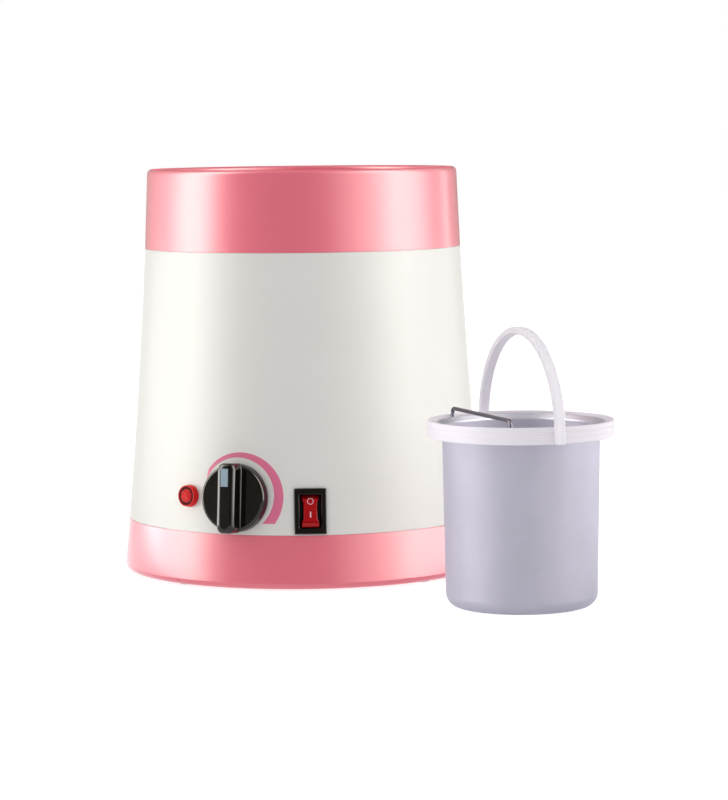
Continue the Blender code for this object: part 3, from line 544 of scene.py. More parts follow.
class Finish(Nodes):
    """A Principled material whose colour, roughness and relief vary by noise in object space."""

    def __init__(self, name, colour, roughness, metallic=0.0, **constants):
        self.material = bpy.data.materials.new(name)
        super().__init__(self.material)
        self.shader = self.tree.nodes["Principled BSDF"]
        self.colour = colour
        self.roughness = roughness
        self.material.diffuse_color = (*colour, 1.0)
        constants.update(Base_Color=(*colour, 1.0), Roughness=roughness, Metallic=metallic)
        for socket, value in constants.items():
            self.shader.inputs[socket.replace("_", " ")].default_value = value
        self.place = self.add("ShaderNodeTexCoord").outputs["Object"]

    def drive(self, socket, output):
        self.tree.links.new(output, self.shader.inputs[socket])
        return self

    def noise(self, scale, stretch, detail=3.0, rough=0.55):
        place = self.add("ShaderNodeMapping", self.place, None, None, stretch).outputs[0]
        return self.add("ShaderNodeTexNoise", place, None, scale, detail, rough).outputs["Fac"]

    def spread(self, value, low, high):
        """Noise, which lies mostly between 0.3 and 0.7, spread over a range."""
        return self.add("ShaderNodeMapRange", value, 0.3, 0.7, low, high).outputs["Result"]

    def mottle(self, share, scale, stretch=(1, 1, 1)):
        """Vary the colour by a share of itself."""
        factor = self.spread(self.noise(scale, stretch), 0.0, 1.0)
        mix = self.add("ShaderNodeMix", factor, data_type="RGBA")
        for socket, tone in (("A", 1 - share), ("B", 1 + share)):
            varied = [min(1.0, channel * tone) for channel in self.colour]
            mix.inputs[socket].default_value = (*varied, 1.0)
        return self.drive("Base Color", mix.outputs["Result"])

    def grain(self, share, scale, stretch=(1, 1, 1)):
        """Vary the roughness by a share of itself."""
        low, high = self.roughness * (1 - share), self.roughness * (1 + share)
        return self.drive("Roughness", self.spread(self.noise(scale, stretch), low, high))

    def relief(self, depth, scale, stretch=(1, 1, 1), detail=2.0):
        """Fine surface relief, as deep as given."""
        bump = self.add("ShaderNodeBump", 1.0, depth, None, self.noise(scale, stretch, detail))
        return self.drive("Normal", bump.outputs["Normal"])


def plastic_finish(name, colour, roughness, **constants):
    """Glossy moulding: faint flow mottle, faint polish marks and a slight orange peel."""
    made = Finish(name, colour, roughness, **constants)
    made.mottle(0.01, 22).grain(0.05, 160).relief(0.0000012, 380)
    return made.material


def turned_metal(name, colour, roughness, metallic, lines=1400, depth=0.000004, **constants):
    """Spun metal, with fine lines round the axis and soft cloudy patches."""
    made = Finish(name, colour, roughness, metallic, **constants)
    made.mottle(0.05, 34, (1, 1, 0.6))
    made.grain(0.14, lines, (0.01, 0.01, 1))
    made.relief(depth, lines, (0.01, 0.01, 1))
    return made.material


def rough_finish(name, colour, roughness, share, scale, depth, metallic=0.0, **constants):
    """Matt or grained surface with its own scale of mottle and relief."""
    made = Finish(name, colour, roughness, metallic, **constants)
    made.mottle(share, scale).grain(0.1, 2 * scale).relief(depth, 3 * scale)
    return made.material


# Finishes by the record's material slots
slot_finishes = {
    "pink_shell": plastic_finish(
        "pink_plastic", (0.78, 0.133, 0.197), 0.46, Specular_IOR_Level=0.75,
        Coat_Weight=0.95, Coat_Roughness=0.12, Coat_IOR=1.5,
    ),
    "white_shell": plastic_finish(
        "white_plastic", (0.757, 0.742, 0.705), 0.43,
        Specular_IOR_Level=0.84, Specular_Tint=(0.87, 0.91, 1.0, 1.0),
    ),
    "black_gloss": plastic_finish(
        "black_plastic", (0.0055, 0.0038, 0.0026), 0.08, Specular_IOR_Level=0.42,
    ),
    "pointer": plastic_finish("pointer_plastic", (0.30, 0.40, 0.47), 0.35),
    "lamp_red": plastic_finish("red_lens", (0.82, 0.014, 0.016), 0.20, Specular_IOR_Level=0.15),
    "rocker_red": plastic_finish("red_rocker", (0.40, 0.003, 0.006), 0.16, Specular_IOR_Level=0.2),
    "plate": rough_finish("plate_plastic", (0.78, 0.75, 0.66), 0.55, 0.04, 80, 0.00004),
    "feet": rough_finish("rubber", (0.55, 0.50, 0.50), 0.75, 0.12, 300, 0.00003),
    "steel_parts": rough_finish("steel", (0.45, 0.45, 0.46), 0.28, 0.06, 90, 0.000006, 1.0),
    "brass_parts": rough_finish("brass", (0.72, 0.55, 0.25), 0.28, 0.06, 120, 0.000005, 1.0),
    "copper_parts": rough_finish("copper", (0.75, 0.38, 0.22), 0.35, 0.08, 90, 0.000005, 1.0),
    "mica_band": rough_finish("mica", (0.55, 0.47, 0.35), 0.50, 0.20, 110, 0.00005),
    "insulation": rough_finish("wool", (0.78, 0.75, 0.66), 0.95, 0.16, 160, 0.0008),
    "cream_plastic": rough_finish("cream_plastic", (0.78, 0.75, 0.66), 0.42, 0.04, 60, 0.00001),
    "lead_cover": rough_finish("lead_cover", (0.62, 0.12, 0.10), 0.45, 0.08, 200, 0.00003),
    "well_metal": turned_metal(
        "well_metal", (0.50, 0.50, 0.53), 0.48, 0.35,
        Specular_IOR_Level=0.2, Specular_Tint=(0.40, 0.40, 0.42, 1.0),
    ),
    "bucket_metal": turned_metal(
        "bucket_metal", (0.45, 0.433, 0.522), 0.55, 0.18, 1400, 0.0000025,
        Specular_IOR_Level=0.2, Specular_Tint=(0.40, 0.40, 0.45, 1.0),
    ),
    "bucket_plastic": plastic_finish(
        "bucket_plastic", (0.80, 0.75, 0.82), 0.50, Specular_IOR_Level=0.5,
    ),
    "scraper_steel": turned_metal("scraper_steel", (0.088, 0.078, 0.104), 0.34, 1.0, 500),
}

# Finishes of single faces and pieces
pink_satin = plastic_finish("pink_satin", (0.77, 0.138, 0.198), 0.60, Specular_IOR_Level=0.25)
flange_metal = turned_metal(
    "flange_metal", (0.52, 0.52, 0.55), 0.60, 0.05, Specular_IOR_Level=0.12,
)
lip_metal = turned_metal(
    "lip_metal", (0.47, 0.462, 0.54), 0.38, 0.6, 1400, 0.0000025,
    Specular_Tint=(0.30, 0.30, 0.33, 1.0),
)
bail_plastic = plastic_finish("bail_plastic", (0.955, 0.915, 0.98), 0.50, Specular_IOR_Level=0.3)
print_ink = plastic_finish("print_ink", (0.77, 0.165, 0.30), 0.32)
mark_ink = plastic_finish("mark_ink", (0.85, 0.55, 0.62), 0.40)
red_rim = plastic_finish("red_rim", (0.05, 0.002, 0.005), 0.30, Specular_IOR_Level=0.03)
red_core = rough_finish(
    "red_core", (0.72, 0.010, 0.012), 0.25, 0.45, 700, 0.00004, Specular_IOR_Level=0.12,
)


def dress_nodes():
    """Give every CAD node the finish of its slot."""
    for part in frame["record"]["subparts"]:
        node = frame["nodes"][part["node"]]
        for material_slot in node.material_slots:
            material_slot.material = slot_finishes[part["material_slot"]]


# Frames of the controls on the wall
knob_seat = seat(knob_angle, knob_height)
lamp_seat = seat(lamp_angle, lamp_height)
switch_seat = seat(switch_angle, switch_height)
inlet_seat = seat(inlet_angle, inlet_height)


def box_cutter(name, at, size, corner=gap, low=-5 * overrun, high=5 * overrun):
    """Cutter of a rectangle's size, with a gap all round."""
    levels = [(size[0] + 2 * gap, size[1] + 2 * gap, corner, z) for z in (low, high)]
    return box_turned(name, levels, at)


def round_cutter(name, at, radius, low, high):
    outline = [(0.0, high), (radius, high), (radius, low), (0.0, low)]
    return lathe(name, outline, at, steps=small_steps)


def housing_levels(body, face, mouth, corner, heights, edges):
    """Levels of a case with a bezel: from its back, over the bezel's edge and into its mouth."""
    back, low, top = heights
    levels = [(*body, gap, back), (*body, gap, low), (*face, corner, low)]
    rounds = ((face, -edges[0], edges[0], 0), (mouth, edges[1], edges[1], 90))
    for (width, height), middle, radius, start in rounds:
        for x, z in arc((middle, top - radius), radius, start, start + 90):
            levels.append((width + 2 * x, height + 2 * x, corner, z))
    return levels


def node_middle(node):
    low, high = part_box(node)
    return (low + high) / 2


def base_moulding():
    spigot = shell_radius(base_line_height + spigot_height) - shell_wall - gap
    root = base_line_height - spigot_root
    corner_height = foot_stand + base_corner_radius
    corner_at = (shell_radius(corner_height) - base_corner_radius, corner_height)
    inside = shell_radius(flange_top) - base_corner_radius - shell_wall
    wall = wall_points(corner_height, base_line_height)
    outline = [(*wall[0], seam_round), *wall[1:]]
    outline += arc(corner_at, base_corner_radius, 0, -90, 2 * fine_rows)[1:]
    outline += [
        (flange_inner_radius, foot_stand, plate_round),
        (flange_inner_radius, flange_top),
        (inside, flange_top),
        (inside + shell_wall, flange_top + shell_wall),
        (shell_radius(root - shell_wall) - shell_wall, root - shell_wall),
        (spigot - spigot_wall, root),
        (spigot - spigot_wall, base_line_height + spigot_height),
        (spigot, base_line_height + spigot_height),
        (spigot, base_line_height),
    ]
    shell = lathe("base_moulding", outline)
    cut(shell, box_cutter("switch_way", switch_seat, switch_case))
    piece(shell, "heater", "pink_shell", "base_shell")
    shade_wall(shell)


def body_moulding():
    low = base_line_height + seam_gap
    high = collar_line_height - seam_gap
    wall = wall_points(low, high)
    outline = [(*wall[0], seam_round), *wall[1:-1], (*wall[-1], seam_round)]
    outline += [(radius - shell_wall, height) for radius, height in reversed(wall)]
    shell = lathe("body_moulding", outline)
    high = 3 * overrun
    cut(shell, box_cutter("switch_flat", switch_seat, bezel, bezel_corner, -switch_sink, high))
    cut(shell, box_cutter("switch_way", switch_seat, switch_case))
    cut(shell, box_cutter("inlet_flat", inlet_seat, inlet_face, inlet_corner, -inlet_sink, high))
    cut(shell, box_cutter("inlet_way", inlet_seat, inlet_body))
    cut(shell, round_cutter("knob_way", knob_seat, knob_way_radius, -overrun, overrun))
    cut(shell, round_cutter("lamp_way", lamp_seat, lamp_stem_radius + gap, -overrun, overrun))
    piece(shell, "heater", "white_shell", "body_shell")
    shade_wall(shell)


def collar_moulding():
    """Rim, wall and deck, with the hollow under the deck left open to the body."""
    line = collar_line_height
    spigot = shell_radius(line) - shell_wall - gap
    rim_underside = heater_height - rim_corner_radius - rim_wall
    wall = wall_points(line, heater_height - rim_corner_radius)
    corner = (top_radius - rim_corner_radius, wall[0][1])
    outline = [
        (land_radius, heater_height, rim_corner_radius),
        *arc(corner, rim_corner_radius, 90, 0, 2 * fine_rows)[:-1],
        *wall[:-1],
        (*wall[-1], seam_round),
        (spigot, line),
        (spigot, line - spigot_height),
        (spigot - spigot_wall, line - spigot_height),
        (spigot - spigot_wall, line + spigot_root),
        (shell_radius(deck_underside) - shell_wall, line + spigot_root + shell_wall),
        (top_radius - shell_wall, rim_underside),
        (land_radius + rim_wall, rim_underside),
        (land_radius + rim_wall, deck_underside),
        (well_outer + gap, deck_underside),
        (well_outer + gap, deck_top, plate_round),
        (land_radius, deck_top, deck_round),
    ]

    def in_satin(centre, normal):
        return math.hypot(centre.x, centre.y) < land_radius or normal.z > rim_top_facing

    collar = lathe("collar_moulding", outline)
    piece(collar, "heater", "pink_shell", "top_collar")
    second_finish(collar, pink_satin, in_satin)


def well_liner():
    floor = well_low.z + well_wall
    corner = (well_radius - well_corner_radius, floor + well_corner_radius)
    outline = [
        (0.0, floor),
        *arc(corner, well_corner_radius, -90, 0, 2 * fine_rows),
        (well_radius, well_high.z, well_mouth_round),
        (well_flange_radius, well_high.z, pin_edge),
        (well_flange_radius, well_high.z - well_wall),
        (well_outer, well_high.z - well_wall),
        *arc(corner, well_corner_radius + well_wall, 0, -90, 2 * fine_rows),
        (0.0, well_low.z),
    ]

    def on_flange(centre, normal):
        return centre.z > deck_top and normal.z > flange_top_facing

    liner = lathe("well_liner", outline)
    piece(liner, "heater", "well_metal", "inner_well")
    second_finish(liner, flange_metal, on_flange)


def bottom_cover():
    """Bottom plate with its lap on the base's flange and a sink for each tie rod's head."""
    lap_low = plate_high.z - plate_lap_thickness
    plate_top = plate_low.z + plate_thickness
    outline = [
        (0.0, plate_top),
        (plate_radius - plate_lap_thickness, plate_top),
        (plate_radius - plate_lap_thickness, plate_high.z),
        (plate_high.x, plate_high.z),
        (plate_high.x, lap_low),
        (plate_radius, lap_low),
        (plate_radius, plate_low.z, plate_round),
        (0.0, plate_low.z),
    ]
    cover = lathe("bottom_cover", outline)
    for number in (1, 2, 3):
        middle = node_middle(f"tie_rod_{number}")
        at = shift(middle.x, middle.y, plate_low.z)
        cut(cover, round_cutter("tie_sink", at, tie_head_radius, -overrun, 2 * gap + tie_head_sink))
        cut(cover, round_cutter("tie_way", at, tie_way_radius, -overrun, overrun))
    piece(cover, "heater", "plate", "bottom_plate")


def foot_pads():
    for number in (1, 2, 3, 4):
        node = f"foot_{number}"
        low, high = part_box(node)
        radius = (high.x - low.x) / 2
        outline = [
            (0.0, high.z),
            (foot_stem_radius, high.z),
            (foot_barb_radius, flange_top + gap),
            (foot_stem_radius, flange_top + gap),
            (foot_stem_radius, foot_stand - gap),
            (radius, foot_stand - gap),
            (radius, 0.0, foot_round),
            (0.0, 0.0),
        ]
        at = shift(*node_middle(node).xy)
        foot = lathe(f"foot_pad_{number}", outline, at, steps=small_steps)
        piece(foot, "heater", "feet", node)


def bar_rings():
    """Levels of the grip bar, from inside the disc up: root fillet, flanks and round-over."""
    half = knob_bar_width / 2
    reach = knob_bar_length / 2
    top = knob_face_height + knob_bar_height
    rows = 2 * fine_rows
    levels = [(half + knob_root_round, reach, knob_face_height - knob_wall / 2)]
    root = (half + knob_root_round, knob_face_height + knob_root_round)
    for x, z in arc(root, knob_root_round, 270, 180, rows):
        levels.append((x, reach, z))
    for x, z in arc((0.0, top - knob_bar_round), knob_bar_round, 0, 90, rows):
        drawn = 1 - x / knob_bar_round
        levels.append((half - knob_bar_round * drawn, reach - knob_bar_end_round * drawn, z))
    rings = []
    for half, reach, z in levels:
        side = math.sqrt(reach**2 - half**2)
        outline = box_outline(2 * half, 2 * side, min(knob_bar_corner, half - gap))
        rings.append([(x, y * math.sqrt(reach**2 - x**2) / side, z) for x, y in outline])
    return rings


def knob():
    """Disc with a rounded grip bar right across it, an inlaid pointer and a hollow back."""
    underside = knob_face_height - knob_wall
    bar_top = knob_face_height + knob_bar_height
    outline = [
        (0.0, knob_face_height),
        (knob_radius, knob_face_height, knob_edge),
        (knob_foot_radius, knob_lift, gap),
        (knob_foot_radius - knob_wall, knob_lift),
        (knob_radius - knob_wall, underside),
        (knob_hub_radius, underside),
        (knob_hub_radius, knob_hub_lift),
        (0.0, knob_hub_lift),
    ]
    disc = lathe("knob_cap", outline, knob_seat)
    join(disc, loft("knob_bar", bar_rings(), knob_seat))
    cut(disc, round_cutter("knob_bore", knob_seat, knob_bore_radius, -overrun, knob_bore_depth))
    pointer_y = knob_bar_length / 2 - pointer_end_space - pointer_size[1] / 2
    at = knob_seat @ shift(-pointer_side, pointer_y)
    low = bar_top - pointer_sink - pointer_thickness
    high = bar_top - pointer_sink / 3
    pocket = [side + gap for side in pointer_size]
    levels = [(*pocket, gap, z) for z in (low - gap, bar_top + overrun)]
    cut(disc, box_turned("pointer_pocket", levels, at))
    piece(disc, "knob", "black_gloss", "knob")
    inlay = rounded_box("knob_inlay", pointer_size, low, high, pointer_edge, gap, at)
    piece(inlay, "knob", "pointer", "knob_pointer")


def on_wall(point, lift):
    """Point of the print from the knob's own place: x along the wall, y up it."""
    level = knob_height + point.y * math.cos(shell_lean(knob_height))
    radius = shell_radius(level)
    turn = knob_angle + point.x / radius
    out = radius + lift
    return (out * math.sin(turn), -out * math.cos(turn), level)


def scale_edge(centre, radius, share):
    """Angle and point on one of the crescent's two arcs, at a share of its length."""
    end = -math.asin((centre.y - scale_floor) / radius)
    angle = scale_start + (end - scale_start) * share
    return angle, centre + radius * Vector((math.cos(angle), math.sin(angle)))


def heat_scale():
    """Plain crescent printed round the knob, wide at its lower right end."""
    rings = []
    for column in range(scale_columns + 1):
        share = column / scale_columns
        inner = scale_edge(scale_inner_centre, scale_inner_radius, share)[1]
        angle, outer = scale_edge(scale_outer_centre, scale_outer_radius, share)
        opened = min(1.0, (scale_start - angle) / scale_taper)
        points = [inner.lerp(outer, row / scale_rows * opened) for row in range(scale_rows + 1)]
        upper = [on_wall(point, scale_print) for point in points]
        lower = [on_wall(point, -scale_print) for point in reversed(points)]
        rings.append(upper + lower)
    rings[0] = rings[0][:1]
    piece(loft("heat_scale", rings, material=print_ink), "heater", "pink_shell")


def pilot_lamp():
    """Clear red cap with a dark ring let into its front, round a domed lens with fine rings."""
    rim_inside = lamp_ring_radius - lamp_rim_width
    groove_floor_level = lamp_ring_height - lamp_groove_depth
    outline = [
        (0.0, groove_floor_level),
        (rim_inside, groove_floor_level),
        (rim_inside, lamp_ring_height, gap / 2),
        (lamp_ring_radius, lamp_ring_height, gap),
        (lamp_ring_radius, lamp_flange_height, gap),
        (lamp_flange_radius, lamp_flange_height, gap),
        (lamp_flange_radius, gap),
        (lamp_stem_radius, gap),
        (lamp_stem_radius, -lamp_stem_depth),
        (0.0, -lamp_stem_depth),
    ]
    cap = lathe("lamp_cap", outline, lamp_seat, steps=small_steps)
    piece(cap, "heater", "lamp_red", "lamp_lens")
    low = groove_floor_level + gap / 10
    ring_top_level = lamp_ring_height - gap
    outline = [
        (rim_inside - gap / 10, ring_top_level, gap),
        (rim_inside - gap / 10, low),
        (lamp_groove_radius, low),
        (lamp_groove_radius, ring_top_level, gap),
    ]
    ring = lathe("lamp_ring", outline, lamp_seat, red_rim, small_steps)
    piece(ring, "heater", "lamp_red")
    rise = lamp_dome_height - lamp_ring_height
    reach = lamp_groove_radius - gap / 10
    outline = []
    rows = lamp_ridge_rows * lamp_ridges
    for row in range(rows):
        share = row / rows
        dome = ring_top_level + rise * math.sqrt(1 - share**2)
        ripple = lamp_ridge * math.cos(2 * math.pi * lamp_ridges * share)
        outline.append((reach * share, dome + ripple))
    outline += [(reach, ring_top_level), (reach, low), (0.0, low)]
    lens = lathe("lamp_lens_disc", outline, lamp_seat, red_core, small_steps)
    piece(lens, "heater", "lamp_red", angle=60)


def switch_frame():
    low = gap - switch_sink
    top = low + bezel_thickness
    heights = (low - switch_case_depth, low, top)
    cavity_width = rocker_width + 2 * rocker_clearance
    cavity_height = 2 * (rocker_reach + rocker_clearance)
    mouth = (cavity_width + 2 * funnel_width, cavity_height)
    edges = (bezel_edge, bezel_edge / 2)
    levels = housing_levels(switch_case, bezel, mouth, bezel_corner, heights, edges)
    for z in (top - funnel_depth, heights[0] + switch_wall):
        levels.append((cavity_width, cavity_height, bezel_corner, z))
    housing = box_turned("switch_frame", levels, switch_seat)
    piece(housing, "heater", "black_gloss", "switch_housing")


def rocker_face(y):
    """Height of the rocker's front over its pivot: a shallow V with a ledge at each end."""
    face = rocker_face_height + abs(y) * math.tan(rocker_tilt)
    past = abs(y) - ledge_share * rocker_reach
    if past > 0:
        face -= ledge_depth + past * math.tan(ledge_falls[y > 0])
    if abs(past) < ledge_groove:
        face -= 2 * ledge_groove
    return min(face, math.sqrt(max(rocker_reach**2 - y**2, 0.0)))


def rocker_half(y):
    """Half width of the rocker's front, drawn in at its waist and flared towards both ends."""
    start, stop = rocker_waist_shares
    share = min(1.0, max(0.0, (abs(y) / rocker_reach - start) / (stop - start)))
    flare = share**2 * (3 - 2 * share)
    return (rocker_waist + (rocker_front_width - rocker_waist) * flare) / 2


def rocker():
    lean = Matrix.Rotation(rocker_tilt, 4, "X")
    at = switch_seat @ shift(z=-rocker_pivot_depth) @ lean.inverted()
    rings = []
    for row in range(rocker_rows + 1):
        y = -rocker_reach * math.cos(math.pi * row / rocker_rows)
        front = rocker_face(y)
        back = -min(rocker_back_depth, math.sqrt(max(rocker_reach**2 - y**2, 0.0)))
        half = rocker_half(y)
        edge = min(rocker_edge, (front - back) / 3)
        section = [(half + rocker_draft, back)]
        section += arc((half - edge, front - edge), edge, 0, 90)
        section += arc((edge - half, front - edge), edge, 90, 180)
        section += [(-half - rocker_draft, back)]
        rings.append([(x, y, z) for x, z in section])
    piece(loft("rocker_cap", rings, at), "rocker", "rocker_red", "rocker", angle=30)
    upper = mark_o_share * rocker_reach
    o_at = at @ shift(y=upper, z=rocker_face(upper)) @ lean
    outer = mark_o_radius + mark_stroke / 2
    inner = mark_o_radius - mark_stroke / 2
    outline = [(outer, mark_print), (outer, -mark_print), (inner, -mark_print), (inner, mark_print)]
    ring = lathe("rocker_mark_o", outline, o_at, mark_ink, small_steps)
    piece(ring, "rocker", "rocker_red")
    lower = mark_i_share * rocker_reach
    i_at = at @ shift(y=-lower, z=rocker_face(lower)) @ lean.inverted()
    levels = [(*mark_i_size, gap, z) for z in (-mark_print, mark_print)]
    piece(box_turned("rocker_mark_i", levels, i_at, mark_ink), "rocker", "rocker_red")


def mains_inlet():
    low = gap - inlet_sink
    top = low + inlet_face_thickness
    back = low - inlet_depth
    mouth = [side - 2 * inlet_wall for side in inlet_body]
    edges = (inlet_edge, inlet_edge)
    levels = housing_levels(inlet_body, inlet_face, mouth, inlet_corner, (back, low, top), edges)
    levels.append((*mouth, inlet_corner, back + inlet_back_wall))
    housing = box_turned("inlet_shroud", levels, inlet_seat)
    piece(housing, "heater", "black_gloss", "inlet_housing")
    pins = (
        ("live", -pin_spacing, -pin_offset),
        ("neutral", pin_spacing, -pin_offset),
        ("earth", 0.0, pin_offset),
    )
    for name, x, y in pins:
        pin = rounded_box(
            f"contact_{name}", pin_size, back - pin_tail, top - pin_front_space,
            pin_edge, pin_edge + gap, inlet_seat @ shift(x, y),
        )
        piece(pin, "heater", "brass_parts", f"inlet_pin_{name}")


def bucket_frame():
    """On the table under the bucket's middle, with +X along the axis of the bail."""
    return shift(*bucket_place) @ Matrix.Rotation(bucket_turn - math.pi / 2, 4, "Z")


def peg_frame(side, out):
    """On the bail's axis at a distance from the bucket's middle, with +Z pointing outwards."""
    along = Matrix.Rotation(side * math.pi / 2, 4, "Y")
    return bucket_frame() @ shift(x=side * out, z=peg_level) @ along


def pot():
    corner = (pot_base_radius - pot_corner_radius, pot_corner_radius)
    shoulder = pot_height - pot_lip_drop
    outline = [
        (0.0, pot_wall),
        *arc(corner, pot_corner_radius - pot_wall, -90, 0, 2 * fine_rows),
        (pot_top_radius - pot_wall, shoulder, 2 * pot_wall),
        (pot_lip_radius - pot_wall, pot_height, pot_lip_round),
        (pot_lip_radius, pot_height, pot_lip_round),
        (pot_lip_radius, pot_height - pot_wall),
        (pot_top_radius, shoulder, pot_wall),
        *arc(corner, pot_corner_radius, 0, -90, 2 * fine_rows),
        (0.0, 0.0),
    ]

    def on_lip(centre, normal):
        return centre.z > shoulder and normal.z > 0

    made = lathe("pot", outline, shift(*bucket_place))
    piece(made, "bucket", "bucket_metal", "bucket_pot")
    second_finish(made, lip_metal, on_lip)


def pot_ring():
    inside = ring_radius - ring_outer_wall
    groove = ((0.0, -2), (ring_groove, -1), (ring_groove, 1), (0.0, 2))
    outline = [(ring_radius, ring_top, ring_edge)]
    for level in ring_groove_levels:
        outline += [(ring_radius - x, ring_top - level - z * ring_groove) for x, z in groove]
    outline += [
        (ring_radius, ring_bottom, ring_edge),
        (ring_inner_radius, ring_bottom),
        (ring_inner_radius, groove_floor),
        (inside, groove_floor, gap),
        (inside, ring_top, ring_edge),
    ]
    made = lathe("pot_ring", outline, shift(*bucket_place))
    for side in (-1, 1):
        at = peg_frame(side, ring_radius - peg_length)
        cut(made, round_cutter("peg_way", at, peg_radius + gap, 0.0, peg_length + overrun))
    piece(made, "bucket", "bucket_plastic", "bucket_ring")


def bail_section(inset):
    """Section of the strap: across its width, and from its inner face out, with two ribs."""
    x = bail_width / 2 - inset
    low, high = inset, bail_thickness - inset
    rib = max(x - bail_rib_width, tiny)
    edge = max(bail_edge - inset, gap / 2)
    return rounded([
        (x, low, edge),
        (x, high, edge),
        (rib, high, gap / 2),
        (rib - gap, high - bail_groove, gap / 2),
        (gap - rib, high - bail_groove, gap / 2),
        (-rib, high, gap / 2),
        (-x, high, edge),
        (-x, low, edge),
    ], 3)


def bail():
    """Strap bent round half a circle, with straight legs down to its two pegs."""
    insets = (3 * gap, gap, 0.0)
    heights = (-bail_end, -bail_end + gap, -bail_end + 3 * gap)
    ends = list(zip(heights, insets))
    stations = [(0.0, *end) for end in ends]
    stations += [(math.pi * row / bail_rows, bail_leg, 0.0) for row in range(bail_rows + 1)]
    stations += [(math.pi, *end) for end in reversed(ends)]
    rings = []
    for angle, height, inset in stations:
        out = Vector((math.cos(angle), 0, math.sin(angle)))
        ring = [out * (bail_inner_radius + z) + Vector((0, y, height)) for y, z in bail_section(inset)]
        rings.append(ring)
    made = loft("bail", rings, bucket_frame() @ shift(z=peg_level), bail_plastic)
    inner = ring_radius - peg_length + gap
    reach = bail_inner_radius + bail_thickness / 2 - inner
    for side in (-1, 1):
        join(made, round_cutter("peg", peg_frame(side, inner), peg_radius, 0.0, reach))
    piece(made, "handle", "bucket_plastic", "bucket_handle")


def scraper():
    """Round bar across the mouth, its ends bent down into the ring's groove."""
    leg_circle = (pot_lip_radius + ring_radius - ring_outer_wall) / 2
    offset = scraper_offset_share * pot_lip_radius
    half_span = math.sqrt(leg_circle**2 - offset**2)
    level = pot_height + scraper_rise
    left = (-half_span + scraper_bend_radius, level - scraper_bend_radius)
    right = (half_span - scraper_bend_radius, level - scraper_bend_radius)
    route = [(-half_span, groove_floor + gap)]
    route += arc(left, scraper_bend_radius, 180, 90, 2 * fine_rows)
    route += arc(right, scraper_bend_radius, 90, 0, 2 * fine_rows)
    route += [(half_span, groove_floor + gap)]

    curve = bpy.data.curves.new("scraper_route", "CURVE")
    curve.dimensions = "3D"
    curve.bevel_depth = scraper_radius
    curve.bevel_resolution = fine_rows
    curve.use_fill_caps = True
    spline = curve.splines.new("POLY")
    spline.points.add(len(route) - 1)
    for point, (x, z) in zip(spline.points, route):
        point.co = (x, -offset, z, 1.0)
    guide = new_object("scraper_guide", curve)
    bpy.context.view_layer.update()
    graph = bpy.context.evaluated_depsgraph_get()
    mesh = bpy.data.meshes.new_from_object(guide.evaluated_get(graph))
    bpy.data.objects.remove(guide, do_unlink=True)

    shape = bmesh.new()
    shape.from_mesh(mesh)
    bmesh.ops.remove_doubles(shape, verts=shape.verts, dist=tiny)
    shape.to_mesh(mesh)
    shape.free()
    mesh.materials.clear()
    rod = new_object("scraper_rod", mesh, bucket_frame())
    piece(rod, "scraper", "scraper_steel", "scraper_bar")


def camera():
    data = bpy.data.cameras.new("camera")
    data.lens = camera_lens
    data.sensor_width = sensor_width
    tilt = Matrix.Rotation(camera_pitch, 4, "X") @ Matrix.Rotation(camera_roll, 4, "Z")
    place = Matrix.Translation(camera_place)
    bpy.context.scene.camera = new_object("camera", data, place @ tilt)


def studio():
    """World: white to the eye, soft panels to gloss, and a plain even light to matt surfaces."""
    world = bpy.data.worlds.new("studio")
    world.cycles.sampling_method = "NONE"
    bpy.context.scene.world = world
    nodes = Nodes(world)
    nodes.tree.nodes.clear()
    way = nodes.add("ShaderNodeSeparateXYZ", nodes.add("ShaderNodeTexCoord").outputs["Generated"])
    away = nodes.math("MULTIPLY", way.outputs["Y"], -1.0)
    azimuth = nodes.math("ARCTAN2", way.outputs["X"], away)
    turn = nodes.math("MULTIPLY_ADD", azimuth, 0.5 / math.pi, 0.5)
    ramp = nodes.add("ShaderNodeValToRGB", turn)
    ramp.color_ramp.interpolation = "B_SPLINE"
    stops = ramp.color_ramp.elements
    while len(stops) > 1:
        stops.remove(stops[0])
    for index, (degrees, level) in enumerate(panel_levels):
        place = degrees / 360 + 0.5
        stop = stops[0] if index == 0 else stops.new(place)
        stop.position = place
        stop.color = (level, level, level, 1.0)
    panels = nodes.math("MULTIPLY", ramp.outputs["Color"], panel_radiance)
    lift = nodes.smooth(way.outputs["Z"], *panel_foot, 0.0, 1.0)
    drop = nodes.smooth(way.outputs["Z"], *panel_top, 1.0, 0.0)
    below = nodes.math("MULTIPLY_ADD", lift, -table_level, table_level)
    above = nodes.smooth(way.outputs["Z"], *top_heights, 0.0, top_level)
    band = nodes.math("MULTIPLY", lift, drop)
    rest = nodes.math("ADD", above, below)
    gloss = nodes.math("MULTIPLY_ADD", panels, band, rest)
    soft = nodes.math("MULTIPLY_ADD", gloss, side_level, ambient_level)
    path = nodes.add("ShaderNodeLightPath")
    seen = nodes.math("MAXIMUM", path.outputs["Is Camera Ray"], path.outputs["Is Transmission Ray"])
    plain = nodes.add("ShaderNodeBackground", (1.0, 1.0, 1.0, 1.0), nodes.mix(seen, soft, 1.0))
    mirrored = nodes.add("ShaderNodeBackground", (*panel_colour, 1.0), gloss)
    shaders = (plain.outputs[0], mirrored.outputs[0])
    light = nodes.add("ShaderNodeMixShader", path.outputs["Is Glossy Ray"], *shaders)
    nodes.add("ShaderNodeOutputWorld", light.outputs[0])


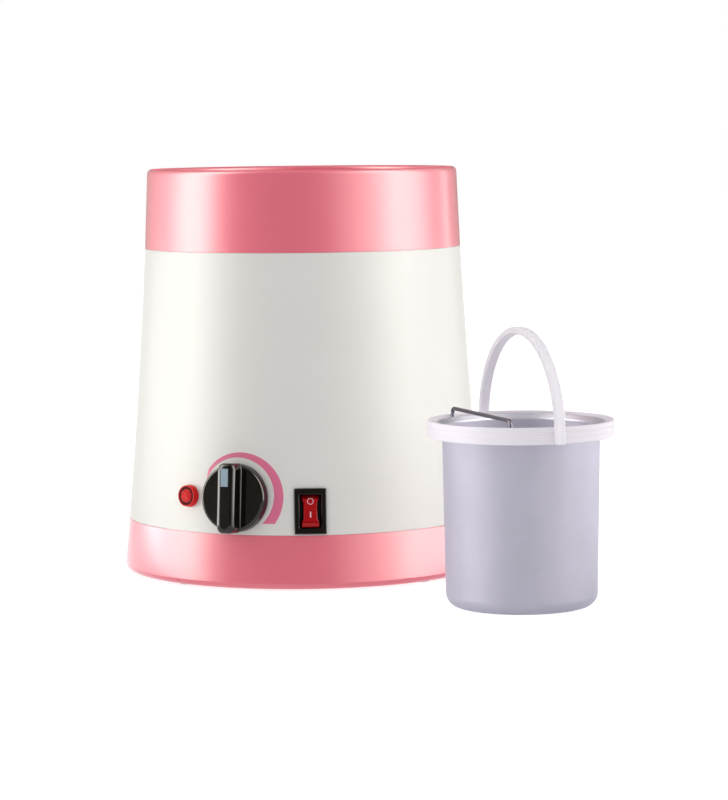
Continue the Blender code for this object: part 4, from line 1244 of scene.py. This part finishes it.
def floor():
    """Plain pale floor that reads white round the object and keeps its soft shadow."""
    mesh = bpy.data.meshes.new("floor")
    shape = bmesh.new()
    bmesh.ops.create_grid(shape, x_segments=1, y_segments=1, size=floor_reach)
    shape.to_mesh(mesh)
    shape.free()
    material = bpy.data.materials.new("pale_floor")
    nodes = Nodes(material)
    nodes.tree.nodes.clear()
    diffuse = nodes.add("ShaderNodeBsdfDiffuse", (floor_grey, floor_grey, floor_grey, 1.0))
    path = nodes.add("ShaderNodeLightPath")
    seen = nodes.math("MAXIMUM", path.outputs["Is Camera Ray"], path.outputs["Is Transmission Ray"])
    seen = nodes.math("MAXIMUM", seen, path.outputs["Is Glossy Ray"])
    level = nodes.math("MULTIPLY_ADD", seen, floor_glow, floor_bounce)
    place = nodes.add("ShaderNodeSeparateXYZ", nodes.add("ShaderNodeTexCoord").outputs["Object"])
    ahead = nodes.math("ABSOLUTE", place.outputs["Y"])
    aside = nodes.math("ABSOLUTE", place.outputs["X"])
    aside = nodes.math("MULTIPLY_ADD", ahead, -floor_panel_turn, aside)
    panel = nodes.smooth(aside, *floor_panel_reach, 0.0, floor_panel)
    level = nodes.math("MULTIPLY_ADD", path.outputs["Is Glossy Ray"], panel, level)
    glow = nodes.add("ShaderNodeEmission", (1.0, 1.0, 1.0, 1.0), level)
    both = nodes.add("ShaderNodeAddShader", diffuse.outputs[0], glow.outputs[0])
    nodes.add("ShaderNodeOutputMaterial", both.outputs[0])
    new_object("floor", mesh, material=material)


def bucket_lamp():
    """Weak wide lamp at the left for pot and ring alone, as the photograph lights them."""
    data = bpy.data.lights.new("bucket_lamp", "AREA")
    data.energy = bucket_lamp_power
    data.size = bucket_lamp_size
    turned = Matrix.Rotation(bucket_lamp_angle, 4, "Z") @ shift(y=-bucket_lamp_distance)
    at = shift(*bucket_place, pot_height) @ turned @ Matrix.Rotation(math.pi / 2, 4, "X")
    lamp = new_object("bucket_lamp", data, at)
    lamp.visible_camera = False
    lit = bpy.data.collections.new("bucket_lamp_pieces")
    for name in ("pot", "pot_ring"):
        lit.objects.link(bpy.data.objects[name])
    lamp.light_linking.receiver_collection = lit
    lamp.light_linking.blocker_collection = lit


camera()
studio()
floor()
dress_nodes()
base_moulding()
body_moulding()
collar_moulding()
well_liner()
bottom_cover()
foot_pads()
knob()
heat_scale()
pilot_lamp()
switch_frame()
rocker()
mains_inlet()
pot()
pot_ring()
bail()
scraper()
bucket_lamp()

bpy.context.scene.view_settings.view_transform = "Standard"

bpy.context.view_layer.update()
